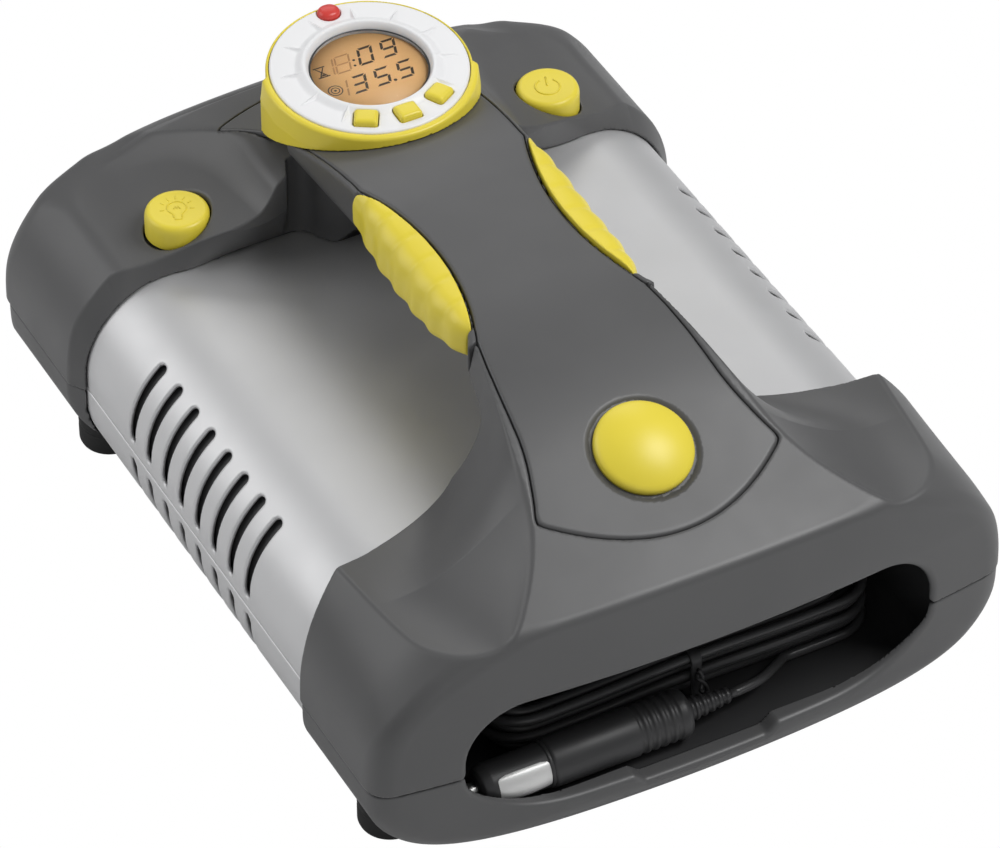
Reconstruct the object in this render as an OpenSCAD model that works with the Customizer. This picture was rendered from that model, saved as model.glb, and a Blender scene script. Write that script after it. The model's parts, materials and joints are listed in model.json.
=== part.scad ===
// Portable tyre inflator: two grey end housings round a vented silver body, a carrying handle
// with a gauge on its rear deck, and a front compartment that holds the coiled power lead.
// Millimetres. +X is right, +Y is rear, +Z is up; the origin is on the floor under the middle.

/* [Body] */
// Overall width of the end housings
body_w = 282; // [270:1:300]
// Overall length from front face to rear face
body_l = 364; // [352:1:384]
// Height of the line where upper and lower mouldings part
part_z = 66; // [64:1:68]
// Height of the underside of the housings above the floor
base_z = 16; // [14:1:18]
// Plan radius of the bowed front and rear faces
bow_r = 860; // [700:10:1200]
// Plan radius at the four corners
corner_r = 12; // [8:1:20]
// Section radius along the lower edges of the housings
belly_r = 42; // [36:1:46]
// Wall thickness of the mouldings
wall = 3; // [2.4:0.1:3.6]
// Gap between mouldings that meet
seam_gap = 0.2; // [0.1:0.05:0.4]

/* [Silver shell] */
// Width of the silver shell
shell_w = 270; // [264:1:272]
// Height of the top of the silver shell
shell_top = 113; // [110:1:114]
// Section radius of the silver shell
shell_r = 40; // [34:1:44]
// Thickness of the silver shell
shell_t = 2.4; // [1.8:0.1:3]
// Number of vent slots in each row
slot_n = 8; // [4:1:9]
// Distance from one slot to the next
slot_pitch = 14.9; // [12:0.1:16]
// Width of a vent slot
slot_w = 5; // [3:0.1:6]
// Angle that a slot runs round the corner of the shell
slot_angle = 50; // [30:1:60]

/* [Housings] */
// Where the rear housing starts, behind the middle
rear_edge = 97; // [92:1:102]
// Where the front housing ends at its sides, ahead of the middle
front_edge = 104.5; // [100:0.5:108]
// Where the handle frame starts, ahead of the middle
handle_front = 60; // [56:1:64]
// Height of the front edge of the top ramp
brow_z = 130.5; // [126:0.5:134]
// Rise of the front ramp per unit length
front_rise = 0.4245; // [0.36:0.005:0.46]
// Height of the handle top at the middle
handle_z = 175.8; // [172:0.2:180]
// Fall of the rear deck per unit length
deck_fall = 0.39; // [0.34:0.01:0.42]
// Height of the side ridges of the front housing
shoulder_z = 122; // [120:0.5:124]

/* [Handle] */
// Half width of the handle where the front housing ends
handle_half = 39; // [37:0.5:41]
// Height of the underside of the handle
grip_under = 150; // [147:0.5:154]
// Radius of the front and rear posts under the handle
post_r = 37; // [34:0.5:38]
// Thickness of the handle cover
cover_t = 3; // [2:0.2:4]
// Half width of the cover at its waist between the grips
waist_half = 27; // [25:0.5:29]
// Length of a finger grip
grip_l = 100; // [90:1:104]
// Finger swells along each grip
grip_swells = 7; // [5:1:8]

/* [Emblem] */
// Diameter of the emblem cap
emblem_d = 40; // [34:0.5:44]
// Distance of the emblem cap ahead of the middle
emblem_y = 125.5; // [123:0.5:128]
// Height of the edge of the emblem cap above the cover
emblem_h = 3; // [2:0.2:5]

/* [Gauge] */
// Distance of the gauge behind the middle
gauge_y = 107; // [104:0.5:108]
// Height of the gauge face
gauge_z = 180; // [179:0.5:182]
// Outer diameter of the yellow ring
ring_d = 83; // [80:0.5:86]
// Outer diameter of the bezel
bezel_d = 77; // [74:0.5:78]
// Diameter of the display window
window_d = 46; // [40:0.5:48]
// Size of a mode button
mode_size = 9.4; // [7:0.2:10]
// Radius of the arc that the mode buttons stand on
mode_r = 31; // [30:0.2:32]
// Travel of the small buttons
mode_travel = 0.8; // [0.5:0.1:1.2]
// Diameter of the reset button
reset_d = 9; // [8:0.2:9.2]

/* [Controls] */
// Diameter of the light and power buttons
button_d = 27; // [24:0.5:30]
// Distance of these buttons from the middle
button_x = 85.8; // [84:0.2:88]
// Distance of these buttons behind the middle
button_y = 110.4; // [110:0.2:116]
// Height of the button tops
button_top = 134; // [132:0.5:136]
// Travel of these buttons
button_travel = 3; // [2:0.2:4]
// Clearance round a button
button_gap = 0.6; // [0.4:0.1:0.9]

/* [Compartment] */
// Width of the compartment mouth
mouth_w = 209; // [190:1:212]
// Height of the compartment mouth
mouth_h = 58; // [52:1:58]
// Height of the middle of the mouth
mouth_z = 68; // [68:0.5:70]
// Depth of the compartment behind the front face
mouth_depth = 74; // [72:1:76]
// Thickness of the liner
liner_t = 1.8; // [1.2:0.1:2.2]
// Width of the thumb notch in the lower lip
notch_w = 62; // [40:1:80]
// Depth of the thumb notch
notch_h = 5; // [3:0.5:6]

/* [Feet] */
// Diameter of a foot
foot_d = 26; // [20:0.5:30]
// Distance of the feet from the middle, left and right
foot_x = 110; // [104:1:112]
// Distance of the front feet ahead of the middle
foot_front = 122; // [118:1:128]
// Distance of the rear feet behind the middle
foot_rear = 136; // [130:1:142]

/* [Power lead] */
// Diameter of the lead
cord_d = 4; // [3.8:0.1:4]
// Diameter of the plug body
plug_d = 20.6; // [19.5:0.1:20.8]
// Travel of the sprung plug tip
tip_travel = 3; // [2:0.5:4]

/* [Pump] */
// Diameter of the motor can
motor_d = 50; // [44:1:54]
// Length of the motor can
motor_l = 72; // [60:1:76]
// Gear module
gear_m = 1; // [1:0.1:1.1]
// Teeth on the motor pinion
pinion_teeth = 13; // [12:1:14]
// Teeth on the crank gear
crank_teeth = 47; // [44:1:50]
// Bore of the cylinder
bore_d = 30; // [26:1:32]
// Stroke of the piston
stroke = 18; // [14:1:20]
// Running clearance of the piston in its bore
piston_gap = 0.1; // [0.06:0.02:0.2]
// Diameter of the axle of the crank gear
axle_d = 8; // [6:0.5:10]
// Running clearance of shafts in their bores
shaft_gap = 0.05; // [0.03:0.01:0.1]

/* [Hidden] */
$fn = 48;
eps = 0.01;
big = 400;

grey = [0.36, 0.36, 0.37];
silver = [0.80, 0.80, 0.81];
yellow = [0.93, 0.86, 0.20];
black = [0.09, 0.09, 0.10];

half_w = body_w / 2;
half_l = body_l / 2;

// ---- small helpers -----------------------------------------------------------------------
function clamp(t) = min(1, max(0, t));
function ease(t) = let (c = clamp(t)) c * c * (3 - 2 * c);
function smax(a, b, k) = let (h = max(k - abs(a - b), 0) / k) max(a, b) + h * h * k / 4;
function smin(a, b, k) = -smax(-a, -b, k);

// ---- the form of the top, shared by every upper moulding ---------------------------------
// Distance of the bowed end faces from the middle, with rounded corners
function face_at(u) =
    let (t = clamp((u - half_w + corner_r) / corner_r))
    half_l - u * u / (2 * bow_r) - corner_r * (1 - sqrt(1 - t * t));

// Height along the middle: front ramp, handle and rear deck, rounded into each other
brow_back = 3.3;
handle_rise = 0.035;
ramp_blend = 16;
// The deck passes this far under the middle of the gauge face
gauge_stand = 21.28;
function spine_z(y) =
    let (ramp = brow_z + front_rise * (y + half_l - brow_back),
         grip = handle_z + handle_rise * y,
         deck = gauge_z - gauge_stand - deck_fall * (y - gauge_y))
    smin(smin(ramp, grip, ramp_blend), deck, ramp_blend);
// Where the ramp meets the grip, and the grip the deck
ramp_end = (handle_z - brow_z - front_rise * (half_l - brow_back)) / (front_rise - handle_rise);
deck_start = (gauge_z - gauge_stand + deck_fall * gauge_y - handle_z) / (deck_fall + handle_rise);

// Underside of the handle, which keeps the bar thick enough where the top comes down
frame_min = 12;
function frame_under(y) = min(grip_under, spine_z(y) - frame_min);

// Crown of the top across its width, with a roll down to the front shoulders
crown = 0.0005;
roll_drop = 5;
function top_z(u, y) =
    let (f = half_l + y)
    spine_z(y) - crown * u * u
    - roll_drop * ease((u - 50) / 16) * ease((46 - f) / 12) * (1 - 0.6 * ease((22 - f) / 15));

// Half width of the raised centre between the scoops of the front housing
function ridge_half(y) = let (f = max(0, -y - 125)) handle_half + 0.2 * (-y - handle_front) + 0.0085 * f * f;

// Floor of the scoops, rising towards the sides and the front
scoop_step = 1.5;
function scoop_z(u, y) =
    let (a = max(0, (u - 62) / 59), b = clamp((-y - 88) / 87))
    shell_top + scoop_step + pow(pow(9 * a * a, 3) + pow(10.5 * pow(b, 1.6), 3), 1 / 3);

// Outer skin of a housing side, as a height over the distance from the middle
side_power = 2.8;
land_h = 5;
function side_z(u, edge, top, half) =
    part_z + max(land_h, (top - part_z) * pow(max(0, half - u) / (half - edge), 1 / side_power));

// Outer edge of the scoops
function shoulder_half(y) =
    let (f = max(0, -y - half_l + 32))
    half_w - 19.5 - 0.14 * (-y - front_edge) - 0.02 * f * f;

chin_h = 22;
function front_z(x, y) =
    let (u = abs(x), f = clamp((-y - 75) / 55),
         wall_rise = 0.9 + 5 * (1 - ease(f)),
         centre = top_z(u, y) - wall_rise * max(0, u - ridge_half(y)),
         top = smax(centre, scoop_z(u, y), 10 + 22 * ease(f)),
         chin = brow_z - chin_h + chin_h / brow_back * (y + face_at(u)))
    min(top, chin, side_z(u, shoulder_half(y), shoulder_z, half_w));

// Rear edge of the front housing in plan: level across the handle, swept forward to the sides
sweep_from = 36;
sweep_power = 0.758;
sweep_k = (front_edge - handle_front) / pow(half_w - sweep_from, sweep_power);
function front_back(u) = -handle_front - sweep_k * pow(max(0, u - sweep_from), sweep_power);

// Button pods: flat faces that fall to the sides and level out before the shoulder
pod_fall = 0.44;
pod_z = button_top - 6;
pod_shelf = 117.5;
function pod_at(u) = smax(pod_z - pod_fall * (u - button_x), pod_shelf, 8);

// Half width of the rear deck between the pods
function deck_half(y) =
    let (f = max(0, y - 112)) 38 + 0.13 * max(0, y - 45) + 0.0135 * f * f;
// Front edge of the pods in plan; it stands over the silver shell
brow_u = 61.5;
brow_y = rear_edge - 9.8;
pod_in = 45;
function pod_edge(u) = u < pod_in ? rear_edge + seam_gap :
    min(rear_edge + 9, brow_y + sqrt(pow(0.38 * (u - brow_u), 2) + 16) - 4);
function pod_foot(u) = rear_edge + seam_gap + max(0, rear_edge - pod_edge(u));
deck_wall = 3;
rear_round = 16;
rear_taper = 5;
function rear_half(y) = half_w - rear_taper * (1 - ease((y - rear_edge) / 22));
function rear_z(x, y) =
    let (u = abs(x), half = rear_half(y),
         d = clamp((face_at(u) - y) / rear_round),
         centre = top_z(u, y) - deck_wall * max(0, u - deck_half(y)),
         pod = pod_at(max(u, deck_half(y))),
         high = y < rear_edge ? pod : smax(centre, pod, 1.5),
         top = high - rear_round * (1 - sqrt(1 - (1 - d) * (1 - d))))
    min(top, side_z(min(u, half), half_w - 23, pod_shelf, half));

// A block under a curved top: plan(s, t) gives a point, top and bottom give heights there.
// With a hub, the bottom is one flat face that fans out from that point. With a foot, the
// bottom has its own plan, so that the walls lean
module curved_block(ss, ts, plan, top, bottom, hub = undef, foot = undef) {
    n = len(ss);
    m = len(ts);
    flats = [for (t = ts) for (s = ss) plan(s, t)];
    feet = foot == undef ? flats : [for (t = ts) for (s = ss) foot(s, t)];
    upper = [for (p = flats) [p[0], p[1], top(p[0], p[1])]];
    lower = [for (p = feet) [p[0], p[1], bottom(p[0], p[1])]];
    rim = concat([for (i = [0:n - 1]) i], [for (j = [1:m - 1]) j * n + n - 1],
        [for (i = [n - 2:-1:0]) (m - 1) * n + i], [for (j = [m - 2:-1:1]) j * n]);
    k = len(rim);
    o = n * m;
    rim_pts = [for (i = rim) lower[i]];
    cells = [for (j = [0:m - 2]) for (i = [0:n - 2]) j * n + i];
    tops = [for (c = cells) each [[c, c + n, c + n + 1], [c, c + n + 1, c + 1]]];
    if (hub != undef)
        polyhedron(concat(upper, rim_pts, [[hub[0], hub[1], bottom(hub[0], hub[1])]]), concat(tops,
            [for (i = [0:k - 1]) each [[rim[i], rim[(i + 1) % k], o + (i + 1) % k],
                [rim[i], o + (i + 1) % k, o + i], [o + i, o + (i + 1) % k, o + k]]]));
    else
        polyhedron(concat(upper, lower), concat(tops,
            [for (c = cells) each [[o + c, o + c + n + 1, o + c + n], [o + c, o + c + 1, o + c + n + 1]]],
            [for (i = [0:k - 1]) each [[rim[i], rim[(i + 1) % k], o + rim[(i + 1) % k]],
                [rim[i], o + rim[(i + 1) % k], o + rim[i]]]]));
}

function both(half_list) = concat([for (u = half_list) -u],
    [for (i = [len(half_list) - 1:-1:0]) if (half_list[i] > 0) half_list[i]]);
// Stations across a housing, closer at the rounded corner and at the ridge
function stations(half, edge, ridge) = both(concat(
    [for (t = [0, 0.12, 0.3, 0.55, 0.8, 1]) half - corner_r * t * t],
    [for (t = [0.4, 1]) half - corner_r + t * (edge - half + corner_r)],
    [for (t = [0.2:0.2:0.8]) edge + t * (ridge - edge)],
    [for (t = [0:0.2:1]) ridge * (1 - 0.32 * t)],
    [for (t = [0.25:0.25:1]) ridge * 0.68 * (1 - t)]));

// Slide the stations of a half width, so that the lines a and b fall on the creases ma and mb
function slide(u, a, b, half, ma, mb) =
    u <= a ? u * ma / a : u <= b ? ma + (u - a) * (mb - ma) / (b - a) : mb + (u - b) * (half - mb) / (half - b);

// ---- profiles ----------------------------------------------------------------------------
module rounded(w, h, r) {
    square([w - 2 * r, h], center = true);
    square([w, h - 2 * r], center = true);
    for (x = [-1, 1], y = [-1, 1])
        translate([x * (w / 2 - r), y * (h / 2 - r)]) circle(r, $fn = 64);
}

// Extrude an X-Z profile from y0 back to y1
module along_y(y0, y1) translate([0, y1, 0]) rotate([90, 0, 0]) linear_extrude(y1 - y0) children();

module shell_profile(inset = 0) {
    h = shell_top - part_z - inset;
    translate([0, part_z]) rounded(shell_w - 2 * inset, 2 * h, shell_r - inset);
}

module belly_profile(inset = 0) {
    h = part_z - base_z - inset;
    translate([0, part_z]) rounded(body_w - 2 * inset, 2 * h, belly_r - inset);
}

// Plan of the housings: bowed ends and rounded corners
module body_plan(inset = 0) {
    r = bow_r - inset;
    intersection() {
        rounded(body_w - 2 * inset, body_l - 2 * inset, corner_r);
        translate([0, bow_r - half_l]) circle(r, $fn = 180);
        translate([0, half_l - bow_r]) circle(r, $fn = 180);
    }
}

// Side profile of the lower housings: rounded lower edges at both ends
belly_round = 16;
module keel_profile(inset = 0) {
    r = belly_round - inset;
    h = part_z - base_z - inset;
    translate([0, part_z]) rounded(body_l - 2 * inset, 2 * h, r);
}
module along_x(x0, x1) translate([x0, 0, 0]) rotate([90, 0, 90]) linear_extrude(x1 - x0) children();

// The outside of both lower housings in one, less an inset
module belly(inset = 0) {
    intersection() {
        along_y(-half_l, half_l) belly_profile(inset);
        along_x(-half_w, half_w) keel_profile(inset);
        linear_extrude(part_z) body_plan(inset);
    }
}

// Mouth of the compartment, grown by g
mouth_corner = 25;
module mouth(g = 0) {
    translate([0, mouth_z]) rounded(mouth_w + 2 * g, mouth_h + 2 * g, mouth_corner + g);
}
module notch(g = 0) {
    low = mouth_z - mouth_h / 2 - notch_h - g;
    polygon([[-notch_w / 2 - g, mouth_z], [-notch_w / 2 - g, low + notch_h],
        [-notch_w / 2 + notch_h - g, low], [notch_w / 2 - notch_h + g, low],
        [notch_w / 2 + g, low + notch_h], [notch_w / 2 + g, mouth_z]]);
}

// The bay behind the mouth is larger than the mouth, so that a lip keeps the lead in
bay_r = 10;
bay_out = 3;
bay_low = mouth_z - mouth_h / 2 - notch_h - 1;
bay_high = mouth_z + mouth_h / 2 + 2;
module bay(g = 0) {
    translate([0, (bay_low + bay_high) / 2])
        rounded(mouth_w + 2 * bay_out + 2 * g, bay_high - bay_low + 2 * g, bay_r + g);
}

liner_gap = 0.3;
liner_front = -half_l + mouth_w * mouth_w / 8 / bow_r + wall;
liner_back = -half_l + mouth_depth;
module liner_space() {
    along_y(liner_front - liner_gap, liner_back + liner_gap) {
        bay(liner_t + liner_gap);
    }
}

// ---- housings ----------------------------------------------------------------------------
front_ts = [0, 0.04, 0.1, 0.17, 0.25, 0.34, 0.43, 0.52, 0.61, 0.7, 0.8, 0.9, 1];
front_line = 66;
front_rim = half_w - 19.5;
function front_y(u, t) =
    let (y0 = -face_at(u), y1 = front_back(u))
    y0 + (t < 0.05 ? t / 0.04 * brow_back : brow_back + (t - 0.04) / 0.96 * (y1 - y0 - brow_back));
function front_slide(u, y) =
    slide(u, front_line, front_rim, half_w, ridge_half(y), max(ridge_half(y) + 8, shoulder_half(y)));
function front_plan(s, t) =
    let (u = abs(s), y = front_y(u, t), v = front_slide(u, y), w = front_slide(u, front_y(v, t)))
    [sign(s) * w, front_y(w, t)];
module front_top() {
    curved_block(stations(half_w, front_rim, front_line), front_ts, function (s, t) front_plan(s, t),
        function (x, y) front_z(x, y),
        function (x, y) part_z + seam_gap / 2, hub = [0, -125]);
}

hollow_h = 40;
module front_hollow() {
    along_y(-half_l + 12, 0) intersection() {
        translate([0, part_z]) rounded(body_w - 26, 2 * hollow_h, 34);
        translate([-half_w, part_z]) square([body_w, 2 * hollow_h]);
    }
}

front_post_y = -75;
module post(y, under) {
    translate([0, y, shell_top + 0.3]) cylinder(under - shell_top - 0.3 - seam_gap, r = post_r, $fn = 96);
}

module front_housing_upper() {
    color(grey) difference() {
        union() {
            front_top();
            post(front_post_y, frame_under(-handle_front));
        }
        ramp_hollow();
        difference() {
            front_hollow();
            liner_collar();
        }
        liner_space();
        along_y(-half_l - 1, liner_front + 1) mouth();
        shell_seat();
        cover_space();
        emblem_seat();
    }
}

// Cores that keep the ramp, the deck and the posts to a few walls
core_w = 44;
core_skin = 9;
module ramp_hollow() {
    y0 = liner_front + 26;
    y1 = front_post_y + 13;
    low = part_z + hollow_h - 6;
    along_x(-core_w / 2, core_w / 2) polygon([[y0, low], [y1, low],
        [y1, frame_under(-handle_front) - core_skin], [ramp_end - 14, spine_z(ramp_end - 14) - core_skin],
        [y0, spine_z(y0) - core_skin]]);
}
module deck_hollow() {
    y0 = gauge_y - 25;
    y1 = half_l - 24;
    low = part_z + hollow_h - 6;
    high = frame_under(rear_edge) - core_skin;
    along_x(-core_w / 2, core_w / 2) polygon([[y0, low], [y1, low], [y1, spine_z(y1) - core_skin],
        [gauge_y + 8, min(high, spine_z(gauge_y + 8) - core_skin)], [y0, high]]);
}

// Ring of material that holds the liner behind the front face
module liner_collar() {
    along_y(-half_l, liner_front + 22) intersection() {
        bay(liner_t + liner_gap + wall);
        translate([-half_w, part_z]) square([body_w, body_w]);
    }
}

shell_gap = 0.3;
// Room for the silver shell where the housings lap over it
module shell_seat() {
    along_y(shell_y0 - shell_gap, shell_y1 + shell_gap) shell_profile(-shell_gap);
}

module front_housing_lower() {
    color(grey) difference() {
        intersection() {
            belly();
            translate([-half_w, -half_l, 0]) cube([body_w, half_l - front_edge, part_z - seam_gap / 2]);
        }
        difference() {
            intersection() {
                belly(wall);
                translate([-half_w, -half_l + 12, 0]) cube([body_w, half_l, part_z]);
            }
            along_y(-half_l, liner_front + 22) bay(liner_t + liner_gap + wall);
        }
        liner_space();
        along_y(-half_l - 1, liner_front + 1) {
            mouth();
            notch();
        }
    }
}

rear_line = 64;
rear_rim = half_w - 23;
function rear_y(u, t, y0) = y0 + t * (face_at(u) - y0);
function rear_slide(u, y) = slide(u, rear_line, rear_rim, half_w, min(rear_rim - 10, deck_half(y)), rear_rim);
function rear_plan(s, t, lean) =
    let (u = abs(s), v = rear_slide(u, rear_y(u, t, pod_edge(u))), w = rear_slide(u, rear_y(v, t, pod_edge(v))),
         y = rear_y(w, t, lean ? pod_foot(w) : pod_edge(w)))
    [sign(s) * w * rear_half(y) / half_w, y];
rear_ts = [0, 0.06, 0.14, 0.24, 0.34, 0.44, 0.54, 0.64, 0.73, 0.81, 0.88, 0.93, 0.97, 1];
module rear_top() {
    curved_block(stations(half_w, rear_rim, rear_line), rear_ts, function (s, t) rear_plan(s, t, false),
        function (x, y) rear_z(x, y),
        function (x, y) part_z + seam_gap / 2, hub = [0, 140],
        foot = function (s, t) rear_plan(s, t, true));
}

well_z = pod_z - 13.5;
stem_d = 6;
module button_well(side) {
    translate([side * button_x, button_y, well_z]) cylinder(60, d = button_d + 2 * button_gap, $fn = 96);
}
module stem_hole(side) {
    translate([side * button_x, button_y, well_z - 20]) cylinder(30, d = stem_d + 2);
}

module rear_housing_upper() {
    color(grey) board_bosses();
    color(grey) difference() {
        union() {
            rear_top();
            post(gauge_y, frame_under(rear_edge));
        }
        rear_hollow();
        deck_hollow();
        shell_seat();
        cover_space();
        button_well(-1);
        button_well(1);
        stem_hole(-1);
        stem_hole(1);
        lamp_space();
    }
}

module rear_hollow() {
    along_y(rear_edge - 1, half_l - 20) intersection() {
        translate([0, part_z]) rounded(body_w - 26, 2 * hollow_h, 34);
        translate([-half_w, part_z]) square([body_w, 2 * hollow_h]);
    }
}

module rear_housing_lower() {
    color(grey) difference() {
        intersection() {
            belly();
            translate([-half_w, rear_edge, 0]) cube([body_w, half_l, part_z - seam_gap / 2]);
        }
        belly(wall);
        lamp_space();
        outlet_hole();
    }
}

// ---- silver body -------------------------------------------------------------------------
lap = 3.5;
shell_y0 = -front_edge - lap;
shell_y1 = rear_edge + lap;
module shell_tube() {
    along_y(shell_y0, shell_y1) difference() {
        shell_profile();
        shell_profile(shell_t);
    }
}

// One slot round a corner, with round ends, for the upper (1) or lower (-1) row
slot_start = 3;
slot_first = slot_pitch * (slot_n - 1) / 2;
slot_mid = 3.4;
module slot(side, row) {
    corner = shell_w / 2 - shell_r;
    rise = (shell_top - part_z - shell_r) * row;
    translate([side * corner, 0, part_z + rise]) scale([side, 1, row]) rotate([90, 0, 0]) {
        rotate_extrude(angle = slot_angle, $fn = 96)
            translate([shell_r - 2 * shell_t, -slot_w / 2]) square([3 * shell_t, slot_w]);
        for (a = [0, slot_angle]) rotate([0, 0, a]) rotate([0, 90, 0])
            translate([0, 0, shell_r - 2 * shell_t]) cylinder(3 * shell_t, d = slot_w, $fn = 24);
    }
}
module slots(row) {
    for (i = [0:slot_n - 1], side = [-1, 1])
        translate([0, slot_mid - slot_first + i * slot_pitch, 0]) slot(side, row);
}

module body_shell_upper() {
    color(silver) difference() {
        shell_tube();
        translate([-big, -big, 0]) cube([2 * big, 2 * big, part_z + seam_gap / 2]);
        slots(1);
    }
}

module body_shell_lower() {
    color(silver) difference() {
        shell_tube();
        translate([-big, -big, part_z - seam_gap / 2]) cube(2 * big);
        slots(-1);
    }
}

// ---- handle ------------------------------------------------------------------------------
handle_back = rear_edge;
function grip_dip(y) = let (t = (y + 9) / (grip_l / 2)) abs(t) < 1 ? pow(1 - t * t, 1) : 0;
function cover_half(y) =
    let (f = max(0, -y - 105), r = max(0, y - 100))
    handle_half - 1.8 + 0.085 * max(0, -y - handle_front) + 0.006 * f * f * (f < 60 ? 1 : 0)
    + 0.05 * max(0, y - 45) + 0.011 * r * r - (handle_half - 1.8 - waist_half) * grip_dip(y);
function frame_half(y) = cover_half(y) + 1.2 + 0.9 * ease((abs(y + 9) - grip_l / 2) / 8);

frame_ts = [for (t = [0:1 / 22:1]) t];
cross = [-1, -0.85, -0.6, -0.3, 0, 0.3, 0.6, 0.85, 1];
module handle_frame() {
    y0 = -handle_front + seam_gap;
    y1 = handle_back;
    color(grey) difference() {
        curved_block(cross, frame_ts,
            function (s, t) let (y = y0 + t * (y1 - y0)) [s * frame_half(y), y],
            function (x, y) top_z(abs(x), y),
            function (x, y) frame_under(y) + 3 * pow(abs(x) / frame_half(y), 4));
        cover_space();
    }
}

// The cover lies in a recess of the front housing, the handle frame and the rear housing
cover_front_y = -137.7;
cover_front_bulge = 20.5;
cover_rear_y = 135;
cover_rear_bulge = 22;
function cover_plan(s, t, g) =
    let (y0 = cover_front_y - cover_front_bulge * (1 - s * s) - g,
         y1 = cover_rear_y + cover_rear_bulge * (1 - s * s) + g,
         y = y0 + t * (y1 - y0))
    [s * (cover_half(max(cover_front_y, min(cover_rear_y, y))) + g), y];
cover_ts = [for (t = [0:1 / 32:1]) t];
floor_ys = concat([-half_l + 10], [for (d = [-29.5, -13.5, 2.5, 18.5]) ramp_end + d],
    [for (d = [-8, 6, 22]) deck_start + d], [half_l - 20]);
module cover_floor(depth) {
    along_x(-60, 60) polygon(concat([for (y = floor_ys) [y, spine_z(y) - depth]],
        [[half_l, handle_z + 40], [-half_l, handle_z + 40]]));
}
module cover_space() {
    side = [for (t = cover_ts) cover_plan(1, t, seam_gap)];
    ends = [for (i = [len(cross) - 2:-1:1]) cross[i]];
    edge = concat(side, [for (s = ends) cover_plan(s, 1, seam_gap)],
        [for (i = [len(side) - 1:-1:0]) [-side[i][0], side[i][1]]],
        [for (s = ends) cover_plan(-s, 0, seam_gap)]);
    intersection() {
        translate([0, 0, part_z]) linear_extrude(handle_z) polygon(edge);
        cover_floor(cover_t + 1 + seam_gap);
    }
}
module handle_cover() {
    color(grey) difference() {
        intersection() {
            curved_block(cross, cover_ts, function (s, t) cover_plan(s, t, 0),
                function (x, y) top_z(abs(x), y), function (x, y) part_z, hub = [0, 0]);
            cover_floor(cover_t + 1);
        }
        emblem_seat();
    }
}

// Finger grips: a lens in plan, swelling for each finger along its outer side
grip_out = 39.5;
grip_up = 4;
module grip(side) {
    n = 28;
    ys = [for (i = [0:n]) -9 + grip_l / 2 * (2 * i / n - 1) * 0.985];
    ring = function (y) let (
        a = frame_half(y) + seam_gap,
        swell = 0.9 * abs(sin(180 * grip_swells * (y + 9 + grip_l / 2) / grip_l)),
        b = max(a + 1.2, a + (grip_out - a) * sqrt(max(0, 1 - pow((y + 9) / (grip_l / 2), 4))) + swell - 0.9),
        z1 = top_z(a, y) + 0.6, z0 = frame_under(y) + grip_up + 3 * pow((y + 9) / (grip_l / 2), 2),
        h = z1 - z0)
        [[a, z0], [a + (b - a) * 0.6, z0 + 0.5], [b, z0 + 0.24 * h], [b, z1 - 0.34 * h],
            [a + (b - a) * 0.7, z1 - 1.2], [a, z1]];
    rings = [for (y = ys) ring(y)];
    pts = [for (j = [0:n]) for (p = rings[j]) [side * p[0], ys[j], p[1]]];
    quads = [for (j = [0:n - 1]) for (i = [0:5]) let (a = j * 6 + i, b = j * 6 + (i + 1) % 6)
        each [[a, b, b + 6], [a, b + 6, a + 6]]];
    caps = concat([for (i = [1:4]) [0, i + 1, i]], [for (i = [1:4]) [n * 6, n * 6 + i, n * 6 + i + 1]]);
    faces = concat(quads, caps);
    color(yellow) polyhedron(pts, side > 0 ? faces : [for (f = faces) [f[2], f[1], f[0]]]);
}
module grip_left() grip(-1);
module grip_right() grip(1);

// ---- emblem ------------------------------------------------------------------------------
emblem_tilt = atan(front_rise);
emblem_base = 1.6;
module on_ramp() {
    translate([0, -emblem_y, top_z(0, -emblem_y)]) rotate([emblem_tilt, 0, 0]) children();
}
module emblem_seat() {
    on_ramp() {
        translate([0, 0, -emblem_base]) cylinder(20, d = emblem_d + 3, $fn = 96);
        translate([0, 0, -2 * cover_t - 1]) cylinder(20, d = 8.4);
    }
}
module emblem_cap() {
    dome = 6;
    r = (pow(emblem_d / 2, 2) + dome * dome) / (2 * dome);
    color(yellow) on_ramp() translate([0, 0, -emblem_base + 0.2]) {
        cylinder(emblem_h, d = emblem_d, $fn = 96);
        translate([0, 0, emblem_h]) intersection() {
            translate([0, 0, dome - r]) sphere(r, $fn = 120);
            cylinder(dome + 1, d = emblem_d, $fn = 96);
        }
        translate([0, 0, -2 * cover_t + emblem_base]) cylinder(cover_t + 2, d = 8);
    }
}

// ---- gauge -------------------------------------------------------------------------------
ring_lip = 1.8;
bezel_seat = gauge_z - 7;
panel_t = 3.6;
panel_z = gauge_z - 11;
gauge_room = gauge_z - 17;
module at_gauge(z = 0) translate([0, gauge_y, z]) children();
module under_deck(lift) {
    curved_block([-1, -0.6, -0.3, 0, 0.3, 0.6, 1], [0, 0.12, 0.25, 0.4, 0.55, 0.7, 0.85, 1],
        function (s, t) [s * ring_d * 0.6, gauge_y + (t - 0.5) * ring_d * 1.2],
        function (x, y) top_z(abs(x), y) + lift,
        function (x, y) part_z);
}
module gauge_ring() {
    color(yellow) difference() {
        at_gauge(part_z) rotate_extrude($fn = 120) polygon([[0, 0], [ring_d / 2, 0],
            [ring_d / 2, gauge_z - part_z - 4], [ring_d / 2 - ring_lip, gauge_z - part_z - 0.6],
            [0, gauge_z - part_z - 0.6]]);
        at_gauge(bezel_seat) cylinder(big, d = bezel_d + 0.4, $fn = 120);
        at_gauge(gauge_room) cylinder(big, d = bezel_d - 1.4, $fn = 120);
        under_deck(seam_gap);
    }
}

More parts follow.
